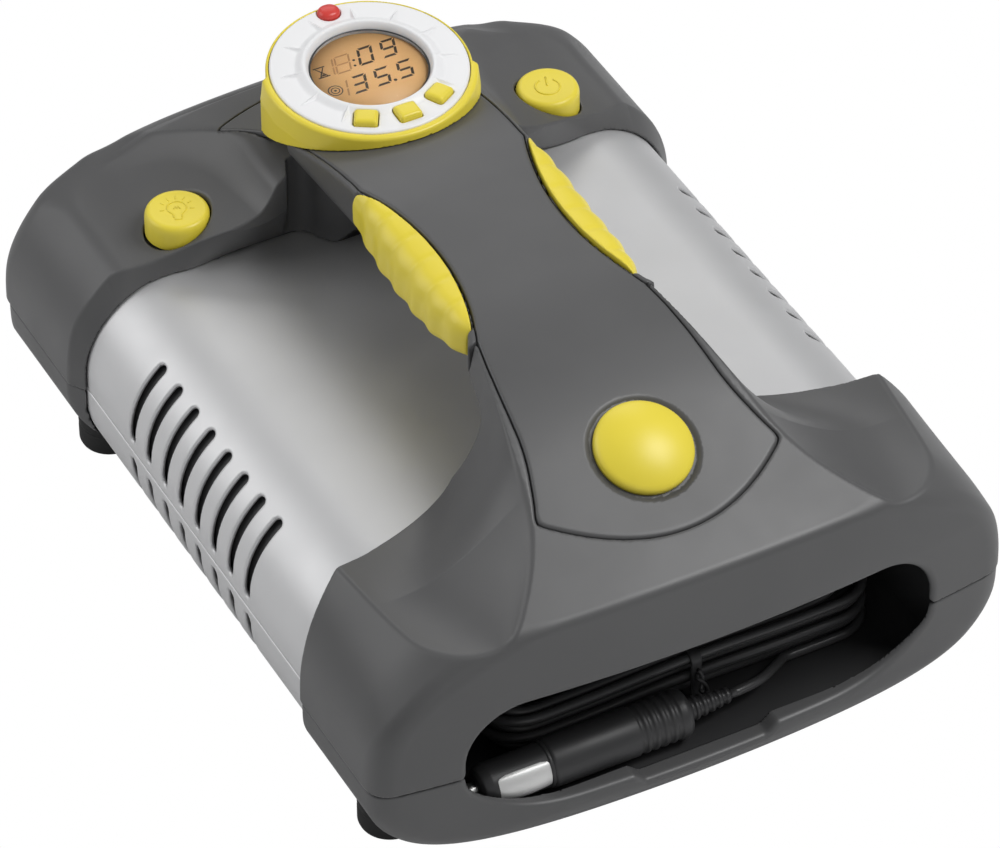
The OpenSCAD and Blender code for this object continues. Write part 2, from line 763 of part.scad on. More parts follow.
function mode_angle(i) = -88 + 30.5 * (i - 1);
module at_mode(i) {
    at_gauge() rotate([0, 0, mode_angle(i)]) translate([mode_r, 0, 0]) children();
}
reset_r = 33;
module at_reset() at_gauge() translate([0, reset_r, 0]) children();
tick_n = 12;
module gauge_bezel() {
    r0 = window_d / 2;
    r1 = bezel_d / 2;
    low = gauge_z - 5.6;
    color(silver) difference() {
        at_gauge() rotate_extrude($fn = 120) polygon([[r0, low], [r1, low], [r1, gauge_z - 0.8],
            [r1 - 1, gauge_z], [r0 + 6, gauge_z + 0.8], [r0 + 1.2, gauge_z - 0.6], [r0, gauge_z - 2.5]]);
        for (i = [0:2]) at_mode(i) translate([0, 0, low - 1])
            linear_extrude(20) square(mode_size + 0.5, center = true);
        at_reset() translate([0, 0, low - 1]) cylinder(20, d = reset_d + 0.5, $fn = 48);
        for (i = [0:tick_n - 1]) if (i != 3 && (i < 8 || i > 10))
            at_gauge(gauge_z - 0.7) rotate([0, 0, i * 360 / tick_n]) translate([r0 + 5, 0, 0])
                linear_extrude(5) polygon([[0, -1.6], [8, -0.3], [8, 0.3], [0, 1.6]]);
    }
}

module display_lens() {
    color([0.85, 0.6, 0.3, 0.4]) at_gauge(gauge_z - 7.2) cylinder(1.4, d = window_d + 4, $fn = 96);
}
module display_panel() {
    color([0.80, 0.55, 0.30]) at_gauge(panel_z) cylinder(panel_t, d = window_d + 4, $fn = 96);
}

module mode_button(i) {
    color(yellow) at_mode(i) {
        translate([0, 0, gauge_z - 7.4]) linear_extrude(8.6) square(mode_size, center = true);
        translate([0, 0, gauge_z - 7.4]) linear_extrude(1.6) square(mode_size + 1.6, center = true);
    }
}
module mode_button_left() mode_button(0);
module mode_button_middle() mode_button(1);
module mode_button_right() mode_button(2);
module reset_button() {
    color([0.85, 0.25, 0.22]) at_reset() {
        translate([0, 0, gauge_z - 7.4]) cylinder(9.6, d = reset_d, $fn = 48);
    }
}

// ---- round buttons -----------------------------------------------------------------------
button_low = well_z + button_travel + 1;
module round_button(side) {
    r = button_d / 2;
    color(yellow) translate([side * button_x, button_y, 0]) {
        rotate_extrude($fn = 96) polygon([[0, button_low], [r, button_low], [r, button_top - 2.4],
            [r - 0.5, button_top - 1.2], [r - 1.8, button_top - 0.3], [r - 4, button_top], [0, button_top]]);
        translate([0, 0, board_z + 2 + button_travel]) cylinder(button_low - board_z, d = stem_d);
    }
}
module light_button() round_button(-1);
module power_button() round_button(1);

// ---- feet --------------------------------------------------------------------------------
foot_h = base_z - 0.3;
module feet() {
    color(black) for (x = [-foot_x, foot_x], y = [-foot_front, foot_rear]) translate([x, y, 0])
        rotate_extrude($fn = 64) polygon([[0, 0], [foot_d / 2 - 2, 0], [foot_d / 2 - 0.5, 0.8],
            [foot_d / 2, 2.4], [foot_d / 2, foot_h], [0, foot_h]]);
}

// ---- compartment liner -------------------------------------------------------------------
module storage_liner() {
    color(black) difference() {
        along_y(liner_front, liner_back) bay(liner_t);
        along_y(liner_front - 1, liner_back - liner_t) bay();
        translate([gland_x, liner_back + 1, gland_z]) rotate([90, 0, 0]) cylinder(10, d = gland_d + 0.4);
    }
}

// ---- power lead --------------------------------------------------------------------------
gland_d = 9;
gland_x = 60;
gland_z = 84;
gland_len = 8;
module cord_gland() {
    color(black) translate([gland_x, liner_back - liner_t, gland_z]) rotate([90, 0, 0]) {
        cylinder(gland_len, d1 = gland_d + 3, d2 = 6.4, $fn = 40);
        translate([0, 0, -8]) cylinder(8, d = gland_d, $fn = 40);
    }
}

// Sweep a tube of n sides along a list of points
function unit(v) = v / norm(v);
function tube_points(path, r, n) = [for (i = [0:len(path) - 1])
    let (a = path[max(0, i - 1)], b = path[min(len(path) - 1, i + 1)], d = unit(b - a),
         side = unit(cross_of(d, abs(d[2]) > 0.9 ? [1, 0, 0] : [0, 0, 1])), up = cross_of(side, d))
    for (k = [0:n - 1]) path[i] + r * (cos(360 * k / n) * side + sin(360 * k / n) * up)];
function cross_of(a, b) = [a[1] * b[2] - a[2] * b[1], a[2] * b[0] - a[0] * b[2], a[0] * b[1] - a[1] * b[0]];
module tube(path, r, n) {
    m = len(path);
    polyhedron(tube_points(path, r, n), concat(
        [for (j = [0:m - 2]) for (i = [0:n - 1]) let (a = j * n + i, b = j * n + (i + 1) % n)
            each [[a, b, b + n], [a, b + n, a + n]]],
        [for (i = [1:n - 2]) [0, i + 1, i]],
        [for (i = [1:n - 2]) [(m - 1) * n, (m - 1) * n + i, (m - 1) * n + i + 1]]));
}
// Smooth curve through hand-set points
function spline(p, steps) = concat([for (i = [0:len(p) - 2]) for (k = [0:steps - 1])
    let (t = k / steps, a = p[max(0, i - 1)], b = p[i], c = p[i + 1], d = p[min(len(p) - 1, i + 2)])
    0.5 * (2 * b + (c - a) * t + (2 * a - 5 * b + 4 * c - d) * t * t + (3 * b - a - 3 * c + d) * t * t * t)],
    [p[len(p) - 1]]);

// The hank: nine loops, two beside each other in each layer, drawn in at the waist
hank_x = 12;
hank_y = -130.8;
hank_half = 86;
hank_r = 8;
hank_step = 9.8;
hank_rise = cord_d + 0.6;
hank_loops = 9;
hank_layers = ceil(hank_loops / 2);
hank_rings = 24;
hank_from = 75;
hank_end = hank_from + hank_loops * 360;
waist = 0.92;
tie_w = 5;
tie_t = 1.2;
hank_low = bay_low + tie_t + 0.2 + cord_d / 2;
function racetrack(a, r) =
    let (s = hank_half - hank_r - hank_step, q = (a % 360 + 360) % 360)
    q < 90 ? [-s * (1 - q / 45), -r] :
    q < 180 ? let (b = 2 * q - 180) [s + r * sin(b), -r * cos(b)] :
    q < 270 ? [s * (5 - q / 45), r] :
    let (b = 2 * q - 540) [-s - r * sin(b), r * cos(b)];
// Loops pair up in layers; the strand moves outward or inward over each pair, then climbs
function hank_point(a) =
    let (turn = a / 360, layer = min(hank_layers - 1, floor(turn / 2)), inner = turn - 2 * layer,
         f = layer % 2 == 0 ? 1 - inner / 2 : inner / 2,
         climb = layer < hank_layers - 1 ? ease((inner - 1.85) / 0.15) : 0,
         p = racetrack(a, hank_r + hank_step * f),
         draw = waist + (1 - waist) * ease(abs(p[0]) / (hank_half * 0.6)))
    [hank_x + p[0], hank_y + p[1] * draw, hank_low + (layer + climb) * hank_rise];
hank_path = [for (i = [0:hank_loops * hank_rings]) hank_point(hank_from + i * 360 / hank_rings)];
module cord_hank() {
    color(black) tube(hank_path, cord_d / 2, 6);
}
// Least gap of the lead to itself, on points between the rings, printed for a check
hank_fine = [for (i = [0:2 * hank_loops * hank_rings]) hank_point(hank_from + i * 180 / hank_rings)];
hank_gap = min([for (i = [0:len(hank_fine) - 13]) for (j = [i + 12:min(i + 150, len(hank_fine) - 1)])
    norm(hank_fine[i] - hank_fine[j])]) - cord_d;
function path_length(p) = let (n = len(p)) n < 2 ? 0 : [for (i = 1, l = norm(p[1] - p[0]); i < n;
    i = i + 1, l = l + (i < n ? norm(p[i] - p[i - 1]) : 0)) l][n - 2];

// Free stretches of the lead: gland to hank, and hank to plug
plug_y = -162;
plug_z = bay_low + plug_d / 2 + 0.1;
relief_l = 20;
hank_tail = hank_point(hank_end);
hank_head = hank_point(hank_from);
lead_gap = 0.1;
gland_end = [gland_x, liner_back - liner_t - gland_len, gland_z];
lead_in_path = concat([hank_tail + [lead_gap, 0, 0]],
    spline([hank_tail + [cord_d, 0, 0], [74, -142, 56], [86, -139, 63], [89, -132, 72],
        [80, -127, 80], [68, -127.5, 84.5], [61.2, -124.8, 84.1], gland_end - [0, cord_d, 0]], 4),
    [gland_end - [0, lead_gap, 0]]);
lead_out_path = concat([[relief_l + lead_gap, plug_y, plug_z]],
    spline([[relief_l + cord_d, plug_y, plug_z], [35, -159.5, 42], [45, -153.5, 39],
        hank_head - [cord_d, 0, 0]], 4),
    [hank_head - [lead_gap, 0, 0]]);
lead_length = path_length(hank_path) + path_length(lead_in_path) + path_length(lead_out_path);
echo(hank_gap = hank_gap, lead_length = lead_length, tail = hank_tail, head = hank_head);
module cord_lead_in() {
    color(black) tube(lead_in_path, cord_d / 2, 8);
}
module cord_lead_out() {
    color(black) tube(lead_out_path, cord_d / 2, 8);
}
module cord_tie() {
    w = 2 * (hank_r + hank_step) * waist + cord_d + 0.4;
    h = hank_layers * hank_rise - 0.2;
    color(black) translate([hank_x - tie_w / 2, hank_y, bay_low + tie_t + h / 2])
        rotate([90, 0, 90]) linear_extrude(tie_w) difference() {
            square([w + 2 * tie_t, h + 2 * tie_t], center = true);
            square([w, h], center = true);
        }
}

// ---- plug --------------------------------------------------------------------------------
module along_plug(x) translate([x, plug_y, plug_z]) rotate([0, 90, 0]) children();
plug_back = 0;
plug_front = -62;
plug_nose = -93;
contact_x = -87;
contact_l = 24;
module contact_slot(side, g) {
    translate([contact_x - g, plug_y + side * (plug_d / 2 - 2) - 2.5 - g, plug_z - 5 - g])
        cube([contact_l + 2 * g, 5 + 2 * g, 10 + 2 * g]);
}
module plug_body() {
    color(black) difference() {
        union() {
            along_plug(plug_front) cylinder(plug_back - plug_front, d = plug_d, $fn = 64);
            along_plug(plug_nose) cylinder(plug_front - plug_nose, d = plug_d - 2, $fn = 64);
        }
        along_plug(plug_nose - 1) cylinder(14, d = 9, $fn = 40);
        contact_slot(-1, 0);
        contact_slot(1, 0);
    }
}
module plug_contacts() {
    color(silver) for (side = [-1, 1]) intersection() {
        along_plug(contact_x) difference() {
            cylinder(contact_l, d = plug_d, $fn = 64);
            translate([0, 0, -1]) cylinder(40, d = plug_d - 7, $fn = 64);
        }
        contact_slot(side, -0.15);
    }
}
module plug_tip() {
    color(silver) {
        along_plug(plug_nose - 5) cylinder(8, d = 7, $fn = 40);
        along_plug(plug_nose + 2.9) cylinder(2, d = 8.6, $fn = 40);
    }
}
module plug_strain_relief() {
    color(black) along_plug(plug_back) cylinder(relief_l, d1 = 11, d2 = 6.4, $fn = 40);
}

// ---- pump --------------------------------------------------------------------------------
drive_z = 62;
motor_x = -40;
motor_y0 = -62;
crank_x = motor_x + gear_m * (pinion_teeth + crank_teeth) / 2;
frame_t = 5;
frame_y = motor_y0 + motor_l;
gear_y = frame_y + frame_t + 0.6;
gear_t = 7;
shaft_d = 5;
module along_back(x, y) translate([x, y, drive_z]) rotate([-90, 0, 0]) children();

function tooth(m, teeth, i, s) =
    let (a = 360 / teeth, r = m * teeth / 2)
    [for (p = [[r - 1.2 * m, -0.34], [r, -0.22], [r + 0.9 * m, -0.1], [r + 0.9 * m, 0.1], [r, 0.22], [r - 1.2 * m, 0.34]])
        let (q = (i + p[1] * s) * a) [p[0] * cos(q), p[0] * sin(q)]];
module gear_plan(teeth) {
    polygon([for (i = [0:teeth - 1]) each tooth(gear_m, teeth, i, 1)]);
}

module motor_can() {
    color([0.5, 0.5, 0.52]) along_back(motor_x, motor_y0) difference() {
        union() {
            cylinder(motor_l, d = motor_d, $fn = 80);
            translate([0, 0, -3]) cylinder(motor_l + 6, d = 16);
        }
        translate([0, 0, -4]) cylinder(motor_l + 8, d = shaft_d + 2 * shaft_gap, $fn = 40);
        translate([0, 0, 3]) cylinder(motor_l - 6, d = motor_d - 5, $fn = 80);
    }
}
module motor_rotor() {
    color([0.6, 0.6, 0.62]) {
        along_back(motor_x, motor_y0 - 14) cylinder(gear_y + gear_t + 15 - motor_y0, d = shaft_d, $fn = 40);
        along_back(motor_x, motor_y0 + 8) cylinder(motor_l - 16, d = motor_d - 9, $fn = 64);
        along_back(motor_x, gear_y) linear_extrude(gear_t) rotate([0, 0, 0]) gear_plan(pinion_teeth);
    }
    color([0.2, 0.2, 0.2]) along_back(motor_x, motor_y0 - 13) {
        cylinder(7, d = 14);
        for (i = [0:6]) rotate([0, 0, i * 360 / 7]) translate([5, -1, 0]) cube([16, 2, 7]);
    }
}

// The frame carries the motor, the stub axle of the crank gear and the cylinder
cyl_x0 = crank_x + 34;
flange_t = 6;
cyl_x1 = cyl_x0 + flange_t;
shell_floor = 2 * part_z - shell_top + shell_t;
module pump_frame() {
    x0 = motor_x - motor_d / 2 - 4;
    z0 = drive_z - motor_d / 2 - 4;
    color([0.45, 0.46, 0.48]) {
        difference() {
            union() {
                translate([x0, frame_y, z0]) cube([cyl_x1 - x0, frame_t, motor_d + 8]);
                translate([cyl_x0, frame_y, drive_z - 22]) cube([flange_t, cyl_y + 20 - frame_y, 44]);
            }
            along_back(motor_x, frame_y - 1) cylinder(frame_t + 2, d = 16.6, $fn = 64);
            translate([cyl_x0 - 1, cyl_y - 7, drive_z - 7]) cube([flange_t + 2, 14, 14]);
        }
        along_back(crank_x, frame_y + frame_t) cylinder(gear_t + 0.9, d = axle_d, $fn = 48);
        for (x = [x0, cyl_x1 - 12])
            translate([x, frame_y - 26, shell_floor]) cube([12, 26 + frame_t, z0 - shell_floor]);
    }
}
module crank_gear() {
    color([0.85, 0.85, 0.82]) along_back(crank_x, gear_y) difference() {
        linear_extrude(gear_t) rotate([0, 0, 180 / crank_teeth * ((crank_teeth + 1) % 2)]) gear_plan(crank_teeth);
        translate([0, 0, -1]) cylinder(gear_t + 2, d = axle_d + 2 * shaft_gap, $fn = 48);
    }
}

// Piston, rod and rod eye slide as one along the cylinder; they rest at the end of the stroke
rod_y = gear_y + gear_t + 0.6;
rod_t = 6;
cyl_y = rod_y + rod_t / 2;
piston_l = 12;
cyl_len = piston_l + stroke + 4;
eye_x = crank_x + stroke / 2;
piston_x = cyl_x1 + stroke + 2;
module along_right(x, y) translate([x, y, drive_z]) rotate([0, 90, 0]) children();
module piston_rod() {
    color([0.7, 0.7, 0.72]) {
        along_right(piston_x, cyl_y) cylinder(piston_l, d = bore_d - 2 * piston_gap, $fn = 80);
        translate([eye_x, rod_y, drive_z - 4]) cube([piston_x - eye_x + 1, rod_t, 8]);
        along_back(eye_x, rod_y) cylinder(rod_t + 2, d = 14, $fn = 48);
    }
}
module pump_cylinder() {
    color([0.75, 0.76, 0.78]) along_right(cyl_x1, cyl_y) difference() {
        union() {
            cylinder(cyl_len, d = bore_d + 5, $fn = 80);
            for (i = [0:4]) translate([0, 0, 4 + i * 6]) cylinder(2, d = bore_d + 13, $fn = 80);
        }
        translate([0, 0, -1]) cylinder(cyl_len + 2, d = bore_d, $fn = 80);
    }
}
module cylinder_head() {
    color([0.7, 0.71, 0.73]) along_right(cyl_x1 + cyl_len, cyl_y) {
        cylinder(8, d = bore_d + 12, $fn = 64);
        translate([0, 0, 7.9]) cylinder(5, d = 10);
    }
}
outlet_x = 60;
outlet_z = 44;
module outlet_hole() {
    translate([outlet_x, half_l + 1, outlet_z]) rotate([90, 0, 0]) cylinder(30, d = 14.4, $fn = 48);
}
module air_outlet() {
    y1 = face_at(outlet_x) - 0.4;
    color(black) translate([outlet_x, y1, outlet_z]) rotate([90, 0, 0]) difference() {
        union() {
            cylinder(20, d = 14, $fn = 48);
            translate([0, 0, wall + 3]) cylinder(4, d = 20, $fn = 48);
        }
        translate([0, 0, -1]) cylinder(15, d = 7, $fn = 40);
    }
}

// ---- electronics -------------------------------------------------------------------------
board_z = well_z - 16.5;
board_t = 1.6;
board_w = body_w - 68;
board_y0 = rear_edge + 8;
board_y1 = half_l - 21;
boss_d = 8;
module board_bosses() {
    for (x = [-60, 60], y = [board_y0 + 6, board_y1 - 10])
        translate([x, y, board_z]) cylinder(part_z + hollow_h + 1 - board_z, d = boss_d);
}
module circuit_board() {
    color([0.10, 0.35, 0.18]) translate([-board_w / 2, board_y0, board_z - board_t])
        cube([board_w, board_y1 - board_y0, board_t]);
    color(black) for (x = [-button_x, button_x]) translate([x - 4, button_y - 4, board_z - 0.5])
        cube([8, 8, 2]);
}
lamp_z = 84;
lamp_d = 34;
module lamp_space() {
    translate([0, half_l + 1, lamp_z]) rotate([90, 0, 0]) cylinder(24, d = lamp_d + 0.6, $fn = 80);
}
module work_lamp() {
    y1 = half_l - 1;
    color([0.92, 0.93, 0.95]) translate([0, y1, lamp_z]) rotate([90, 0, 0]) difference() {
        cylinder(16, d = lamp_d, $fn = 80);
        translate([0, 0, 2]) cylinder(10, d1 = lamp_d - 5, d2 = 10, $fn = 64);
    }
}

front_housing_upper();
front_housing_lower();
rear_housing_upper();
rear_housing_lower();
body_shell_upper();
body_shell_lower();
handle_frame();
handle_cover();
grip_left();
grip_right();
emblem_cap();
gauge_ring();
gauge_bezel();
display_lens();
display_panel();
mode_button_left();
mode_button_middle();
mode_button_right();
reset_button();
light_button();
power_button();
feet();
storage_liner();
cord_gland();
cord_lead_in();
cord_hank();
cord_lead_out();
cord_tie();
plug_strain_relief();
plug_body();
plug_contacts();
plug_tip();
motor_can();
motor_rotor();
pump_frame();
crank_gear();
piston_rod();
pump_cylinder();
cylinder_head();
air_outlet();
circuit_board();
work_lamp();
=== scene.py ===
"""Looks for the portable tyre inflator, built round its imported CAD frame.

The housings, the silver shell and the handle are each one implicit solid: a function that is negative
inside. carve() turns such a function into a fine mesh whose edges are rounded as moulded plastic is.
Functions work in millimetres; meshes are made in metres.
"""

import json
import math

import bmesh
import bpy
import numpy as np
import openvdb
from mathutils import Matrix, Vector


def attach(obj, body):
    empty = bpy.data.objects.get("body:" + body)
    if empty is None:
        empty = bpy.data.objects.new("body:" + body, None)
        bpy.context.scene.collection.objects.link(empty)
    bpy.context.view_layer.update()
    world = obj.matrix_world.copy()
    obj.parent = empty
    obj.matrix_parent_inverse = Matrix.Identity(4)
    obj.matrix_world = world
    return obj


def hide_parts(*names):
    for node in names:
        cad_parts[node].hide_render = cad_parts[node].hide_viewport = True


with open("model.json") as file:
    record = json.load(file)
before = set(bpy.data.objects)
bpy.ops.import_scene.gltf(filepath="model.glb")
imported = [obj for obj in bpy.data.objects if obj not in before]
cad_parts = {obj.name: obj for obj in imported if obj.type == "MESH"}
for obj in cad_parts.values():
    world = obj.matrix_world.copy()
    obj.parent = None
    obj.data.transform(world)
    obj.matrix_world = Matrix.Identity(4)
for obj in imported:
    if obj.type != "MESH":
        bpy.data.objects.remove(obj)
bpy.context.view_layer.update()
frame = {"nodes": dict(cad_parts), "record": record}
HOUSING = "housing"
MM = 0.001

# -------------------- camera
scene = bpy.context.scene
scene.view_settings.view_transform = "Standard"
camera = bpy.data.objects.new("camera", bpy.data.cameras.new("camera"))
scene.collection.objects.link(camera)
scene.camera = camera
camera.data.lens, camera.data.sensor_width = 216.0, 36.0
camera.data.clip_start, camera.data.clip_end = 0.1, 20
EYE = Vector((-0.85937, -1.61821, 1.68554))
RIGHT = Vector((0.88219, -0.47089, 0.0))
UP = Vector((0.31172, 0.58398, 0.74953))
BACK = Vector((-0.35295, -0.66123, 0.66197))
view_axes = Matrix((RIGHT, UP, BACK)).transposed().to_4x4()
camera.matrix_world = Matrix.Translation(EYE) @ view_axes


# -------------------- small maths and main sizes, most as in the CAD source
def clamp(t, lo=0.0, hi=1.0):
    return np.minimum(hi, np.maximum(lo, t))


def ease(t):
    c = clamp(t)
    return c * c * (3 - 2 * c)


def smax(a, b, k):
    h = np.maximum(k - np.abs(a - b), 0) / k
    return np.maximum(a, b) + h * h * k / 4


def smin(a, b, k):
    return -smax(-a, -b, k)


HALF_W, HALF_L, PART_Z, BASE_Z = 141.0, 182.0, 66.0, 16.0
BOW_R = 860.0  # radius in plan of the front and rear faces
SHELL_HALF, SHELL_TOP, SHELL_R, SHELL_T = 135.0, 113.0, 40.0, 2.4
SHELL_FRONT, SHELL_REAR, SEAT_GAP = -108.0, 100.5, 0.4
FRONT_EDGE, HANDLE_FRONT, REAR_EDGE = 104.5, 60.0, 97.0
GAUGE_Y, FACE, LEAN = 104.5, 180.0, math.radians(3.0)
BROW_Z, BROW_BACK, FRONT_RISE, POD_LOW = 130.5, 3.3, 0.4245, 117.5
HANDLE_Z, HANDLE_RISE, DECK_FALL, DECK_FROM = 175.8, 0.035, 0.39, 58.0
SHOULDER_Z, HANDLE_HALF, GRIP_UNDER, CROWN = 122.0, 39.0, 150.0, 0.0005
GAP = 0.25  # play between neighbouring mouldings

BUTTON_X, BUTTON_Y, BUTTON_TOP = 85.8, 110.4, 134.0
CAP_R, CAP_LOW, WELL_R, WELL_LOW = 13.5, 122.4, 13.95, 118.2
EMBLEM_Y, EMBLEM_R, TILT = -125.5, 20.0, math.atan(FRONT_RISE)
DOME_R, DOME_TOP = 36.33, 7.6  # curve of the emblem's dome, and its height over the ramp
RING_R, RING_BORE, BEZEL_R, DISPLAY_R = 42.4, 37.8, 40.95, 24.2  # larger than the solids', as in the photo
KEY_HALF_X, KEY_HALF_Y = 4.9, 4.4
GRIP_MID, GRIP_HALF, GRIP_FRONT, GRIP_REAR = -9.0, 50.0, -52.2, 40.4
POST_R, POST_Y, REAR_POST_R, REAR_POST_Y = 33.5, -75.0, 35.5, 107.0  # round roots of the handle
COVER_T = 3.8
MOUTH_Z, MOUTH_HALF_X, MOUTH_HALF_Z, MOUTH_BACK = 63.4, 103.2, 33.3, -160.0
BAY_HALF_X, BAY_HALF_Z, BAY_FRONT, BAY_REAR = 109.4, 35.2, -173.2, -107.7
LAMP_X, LAMP_Z, LAMP_HOLE = 0.0, 84.0, 17.5
OUTLET_X, OUTLET_Z, OUTLET_HOLE = 60.0, 44.0, 7.3
FOOT_X, FOOT_FRONT, FOOT_REAR, FOOT_R, FOOT_TOP = 110.0, -122.0, 136.0, 13.0, 15.7
SLOT_COUNT, SLOT_FIRST, SLOT_PITCH, SLOT_HALF = 8, -48.75, 14.9, 2.5


def face_at(u):
    """Distance of the bowed ends from the middle."""
    return HALF_L - u * u / (2 * BOW_R)


def spine_z(y):
    """Height of the middle line: the ramp up from the brow, the handle, and the deck down to the rear."""
    ramp = BROW_Z + FRONT_RISE * (y + HALF_L - BROW_BACK)
    grip = HANDLE_Z + HANDLE_RISE * y
    deck = HANDLE_Z + HANDLE_RISE * DECK_FROM - DECK_FALL * (y - DECK_FROM)
    return smin(smin(ramp, grip, 16.0), deck, 16.0)


EMBLEM_Z = float(spine_z(np.float64(EMBLEM_Y)))


def top_z(u, y):
    return spine_z(y) - CROWN * u * u


def ridge_half(y):
    """Distance from the middle of the crease between ramp and scoop."""
    f = np.maximum(0, -y - 125)
    return HANDLE_HALF + 0.2 * (-y - HANDLE_FRONT) + 0.0085 * f * f


def scoop_z(u, y):
    """Floor of the scoop, which rises towards the brow and the shoulder."""
    a = np.maximum(0, (u - 62) / 59)
    b = clamp((-y - 88) / 87)
    return SHELL_TOP + 1.5 + ((9 * a * a) ** 3 + (10.5 * b**1.6) ** 3) ** (1 / 3)


def shoulder_half(y):
    """Distance from the middle of the crease between scoop and side."""
    f = np.maximum(0, -y - HALF_L + 32)
    return HALF_W - 19.5 - 0.14 * (-y - FRONT_EDGE) - 0.02 * f * f


def front_top(u, y):
    """Ramp between the two ridges; outside each, a dish that falls from the ridge to the shoulder."""
    ridge = ridge_half(y)
    width = np.maximum(14, shoulder_half(y) - ridge)
    t = np.minimum(1, (u - ridge) / width)
    fall = np.maximum(0.5, top_z(ridge, y) - scoop_z(ridge, y))
    power = np.clip(0.95 * width / fall, 1.7 + 7 * (1 - clamp((-y - 75) / 60)) ** 2, 9)
    dish = scoop_z(np.maximum(u, ridge), y) + fall * (1 - np.maximum(t, -0.6)) ** power
    return smin(top_z(u, y), dish, 1.6)


def side_half(z, edge, top, half):
    """Half width of a housing at height z."""
    s = np.maximum(0, (z - PART_Z) / (top - PART_Z))
    return half - (half - edge) * s**2.8


def front_back(u):
    """Rear boundary of the front housing in plan, from the handle out to the side."""
    bend = 0.758
    k = (FRONT_EDGE - HANDLE_FRONT) / (HALF_W - 36) ** bend
    return -HANDLE_FRONT - k * (np.maximum(0, u - 34) + 0.02) ** bend


def pod_at(u):
    """Height of the pod under the round buttons, which falls to the side."""
    return smax(128 - 0.44 * (u - BUTTON_X), POD_LOW, 8)


def deck_half(y):
    """Distance from the middle of the crease between deck and pod."""
    f = np.clip(y - 112, 0, 48)
    return 40 + 0.11 * np.maximum(0, y - 45) + 0.0094 * f * f


def rear_top(u, y):
    """Deck between the creases; outside them a pod that dishes down from the crease."""
    half = deck_half(y)
    step = np.maximum(0.5, top_z(half, y) - pod_at(half))
    reach = 17 + 14 * ease((y - 138) / 25)
    dish = pod_at(np.maximum(u, half)) + step * np.maximum(0, 1 - (u - half) / reach) ** 2
    return smin(top_z(u, y), dish, 1.8)


def pod_edge(u):
    """Front edge of the pods in plan; it stands over the silver shell."""
    brow = np.minimum(REAR_EDGE + 9, REAR_EDGE - 9.8 + np.sqrt((0.38 * (u - 61.5)) ** 2 + 16) - 4)
    return REAR_EDGE + GAP + (brow - REAR_EDGE - GAP) * ease((u - 41.5) / 5)


def cover_half(y):
    """Half width of the handle cover: narrow at the waist, wider under the gauge and on the ramp."""
    f = np.maximum(0, -y - 105)
    r = np.maximum(0, y - 100)
    t = (y - GRIP_MID) / GRIP_HALF
    dip = np.maximum(0, 1 - t * t)
    flare = 0.006 * np.minimum(f, 60) ** 2
    return (37.2 + 0.085 * np.maximum(0, -y - HANDLE_FRONT) + flare
            + 0.05 * np.maximum(0, y - 45) + 0.011 * r * r - 10.2 * dip)


def frame_half(y):
    return cover_half(y) + 1.2 + 0.9 * ease((np.abs(y - GRIP_MID) - 46) / 5)


def height(h, x, y, z):
    """Signed distance, nearly, to the graph of the height function h(u, y)."""
    u = np.abs(x)
    e = 0.5
    z0 = h(u, y)
    sx = (h(u + e, y) - z0) / e
    sy = (h(u, y + e) - z0) / e
    return (z - z0) / np.sqrt(1 + sx * sx + sy * sy)


def box2(a, b, ha, hb, r):
    """Signed distance to a rounded rectangle centred on the origin."""
    qa, qb = np.abs(a) - ha + r, np.abs(b) - hb + r
    return np.hypot(np.maximum(qa, 0), np.maximum(qb, 0)) + np.minimum(np.maximum(qa, qb), 0) - r


# -------------------- meshes
def link(name, verts, faces, smooth=True):
    """Mesh object of vertices in metres."""
    mesh = bpy.data.meshes.new(name)
    mesh.from_pydata([tuple(v) for v in np.asarray(verts, float)], [], faces)
    mesh.update()
    obj = bpy.data.objects.new(name, mesh)
    scene.collection.objects.link(obj)
    if smooth:
        mesh.shade_smooth()
    return obj


def carve(name, field, lo, hi, step, mat, nodes=(), body=HOUSING, slot=None):
    """Mesh of the zero surface of field(x, y, z) in the box lo to hi, in mm, with normals from the field itself."""
    axes = [np.arange(a, b + step, step) for a, b in zip(lo, hi)]
    x, y, z = axes[0][:, None, None], axes[1][None, :, None], axes[2][None, None, :]
    values = np.ascontiguousarray(np.broadcast_to(field(x, y, z), [len(a) for a in axes]), np.float32)
    grid = openvdb.FloatGrid()
    grid.copyFromArray(values)
    points, quads = grid.convertToQuads(isovalue=0.0)
    p = points.astype(float) * step + np.array(lo, float)
    e = 0.02

    def slope(q):
        return np.stack([(field(*(q + d).T) - field(*(q - d).T)) / (2 * e) for d in np.eye(3) * e], 1)

    for _ in range(3):
        g = slope(p)
        move = field(*p.T)[:, None] * g / np.maximum((g * g).sum(1), 0.05)[:, None]
        length = np.linalg.norm(move, axis=1)[:, None]
        p -= move * np.minimum(1, 0.6 * step / np.maximum(length, 1e-9))
    g = slope(p)
    normals = g / np.maximum(np.linalg.norm(g, axis=1), 1e-9)[:, None]
    mesh = bpy.data.meshes.new(name)
    count = len(quads)
    mesh.vertices.add(len(p))
    mesh.vertices.foreach_set("co", (p * MM).astype(np.float32).ravel())
    mesh.loops.add(count * 4)
    mesh.loops.foreach_set("vertex_index", quads[:, ::-1].astype(np.int32).ravel())
    mesh.polygons.add(count)
    mesh.polygons.foreach_set("loop_start", np.arange(0, count * 4, 4, dtype=np.int32))
    mesh.update(calc_edges=True)
    mesh.validate()
    a, b, c = (p[quads[:, i]] for i in (0, 1, 2))
    out = (np.cross(c - b, a - b) * normals[quads[:, 1]]).sum(1)
    if (out > 0).mean() > 0.5:
        mesh.flip_normals()
    mesh.shade_smooth()
    mesh.normals_split_custom_set_from_vertices(normals.tolist())
    obj = bpy.data.objects.new(name, mesh)
    scene.collection.objects.link(obj)
    return dress(obj, mat, nodes, body, slot)


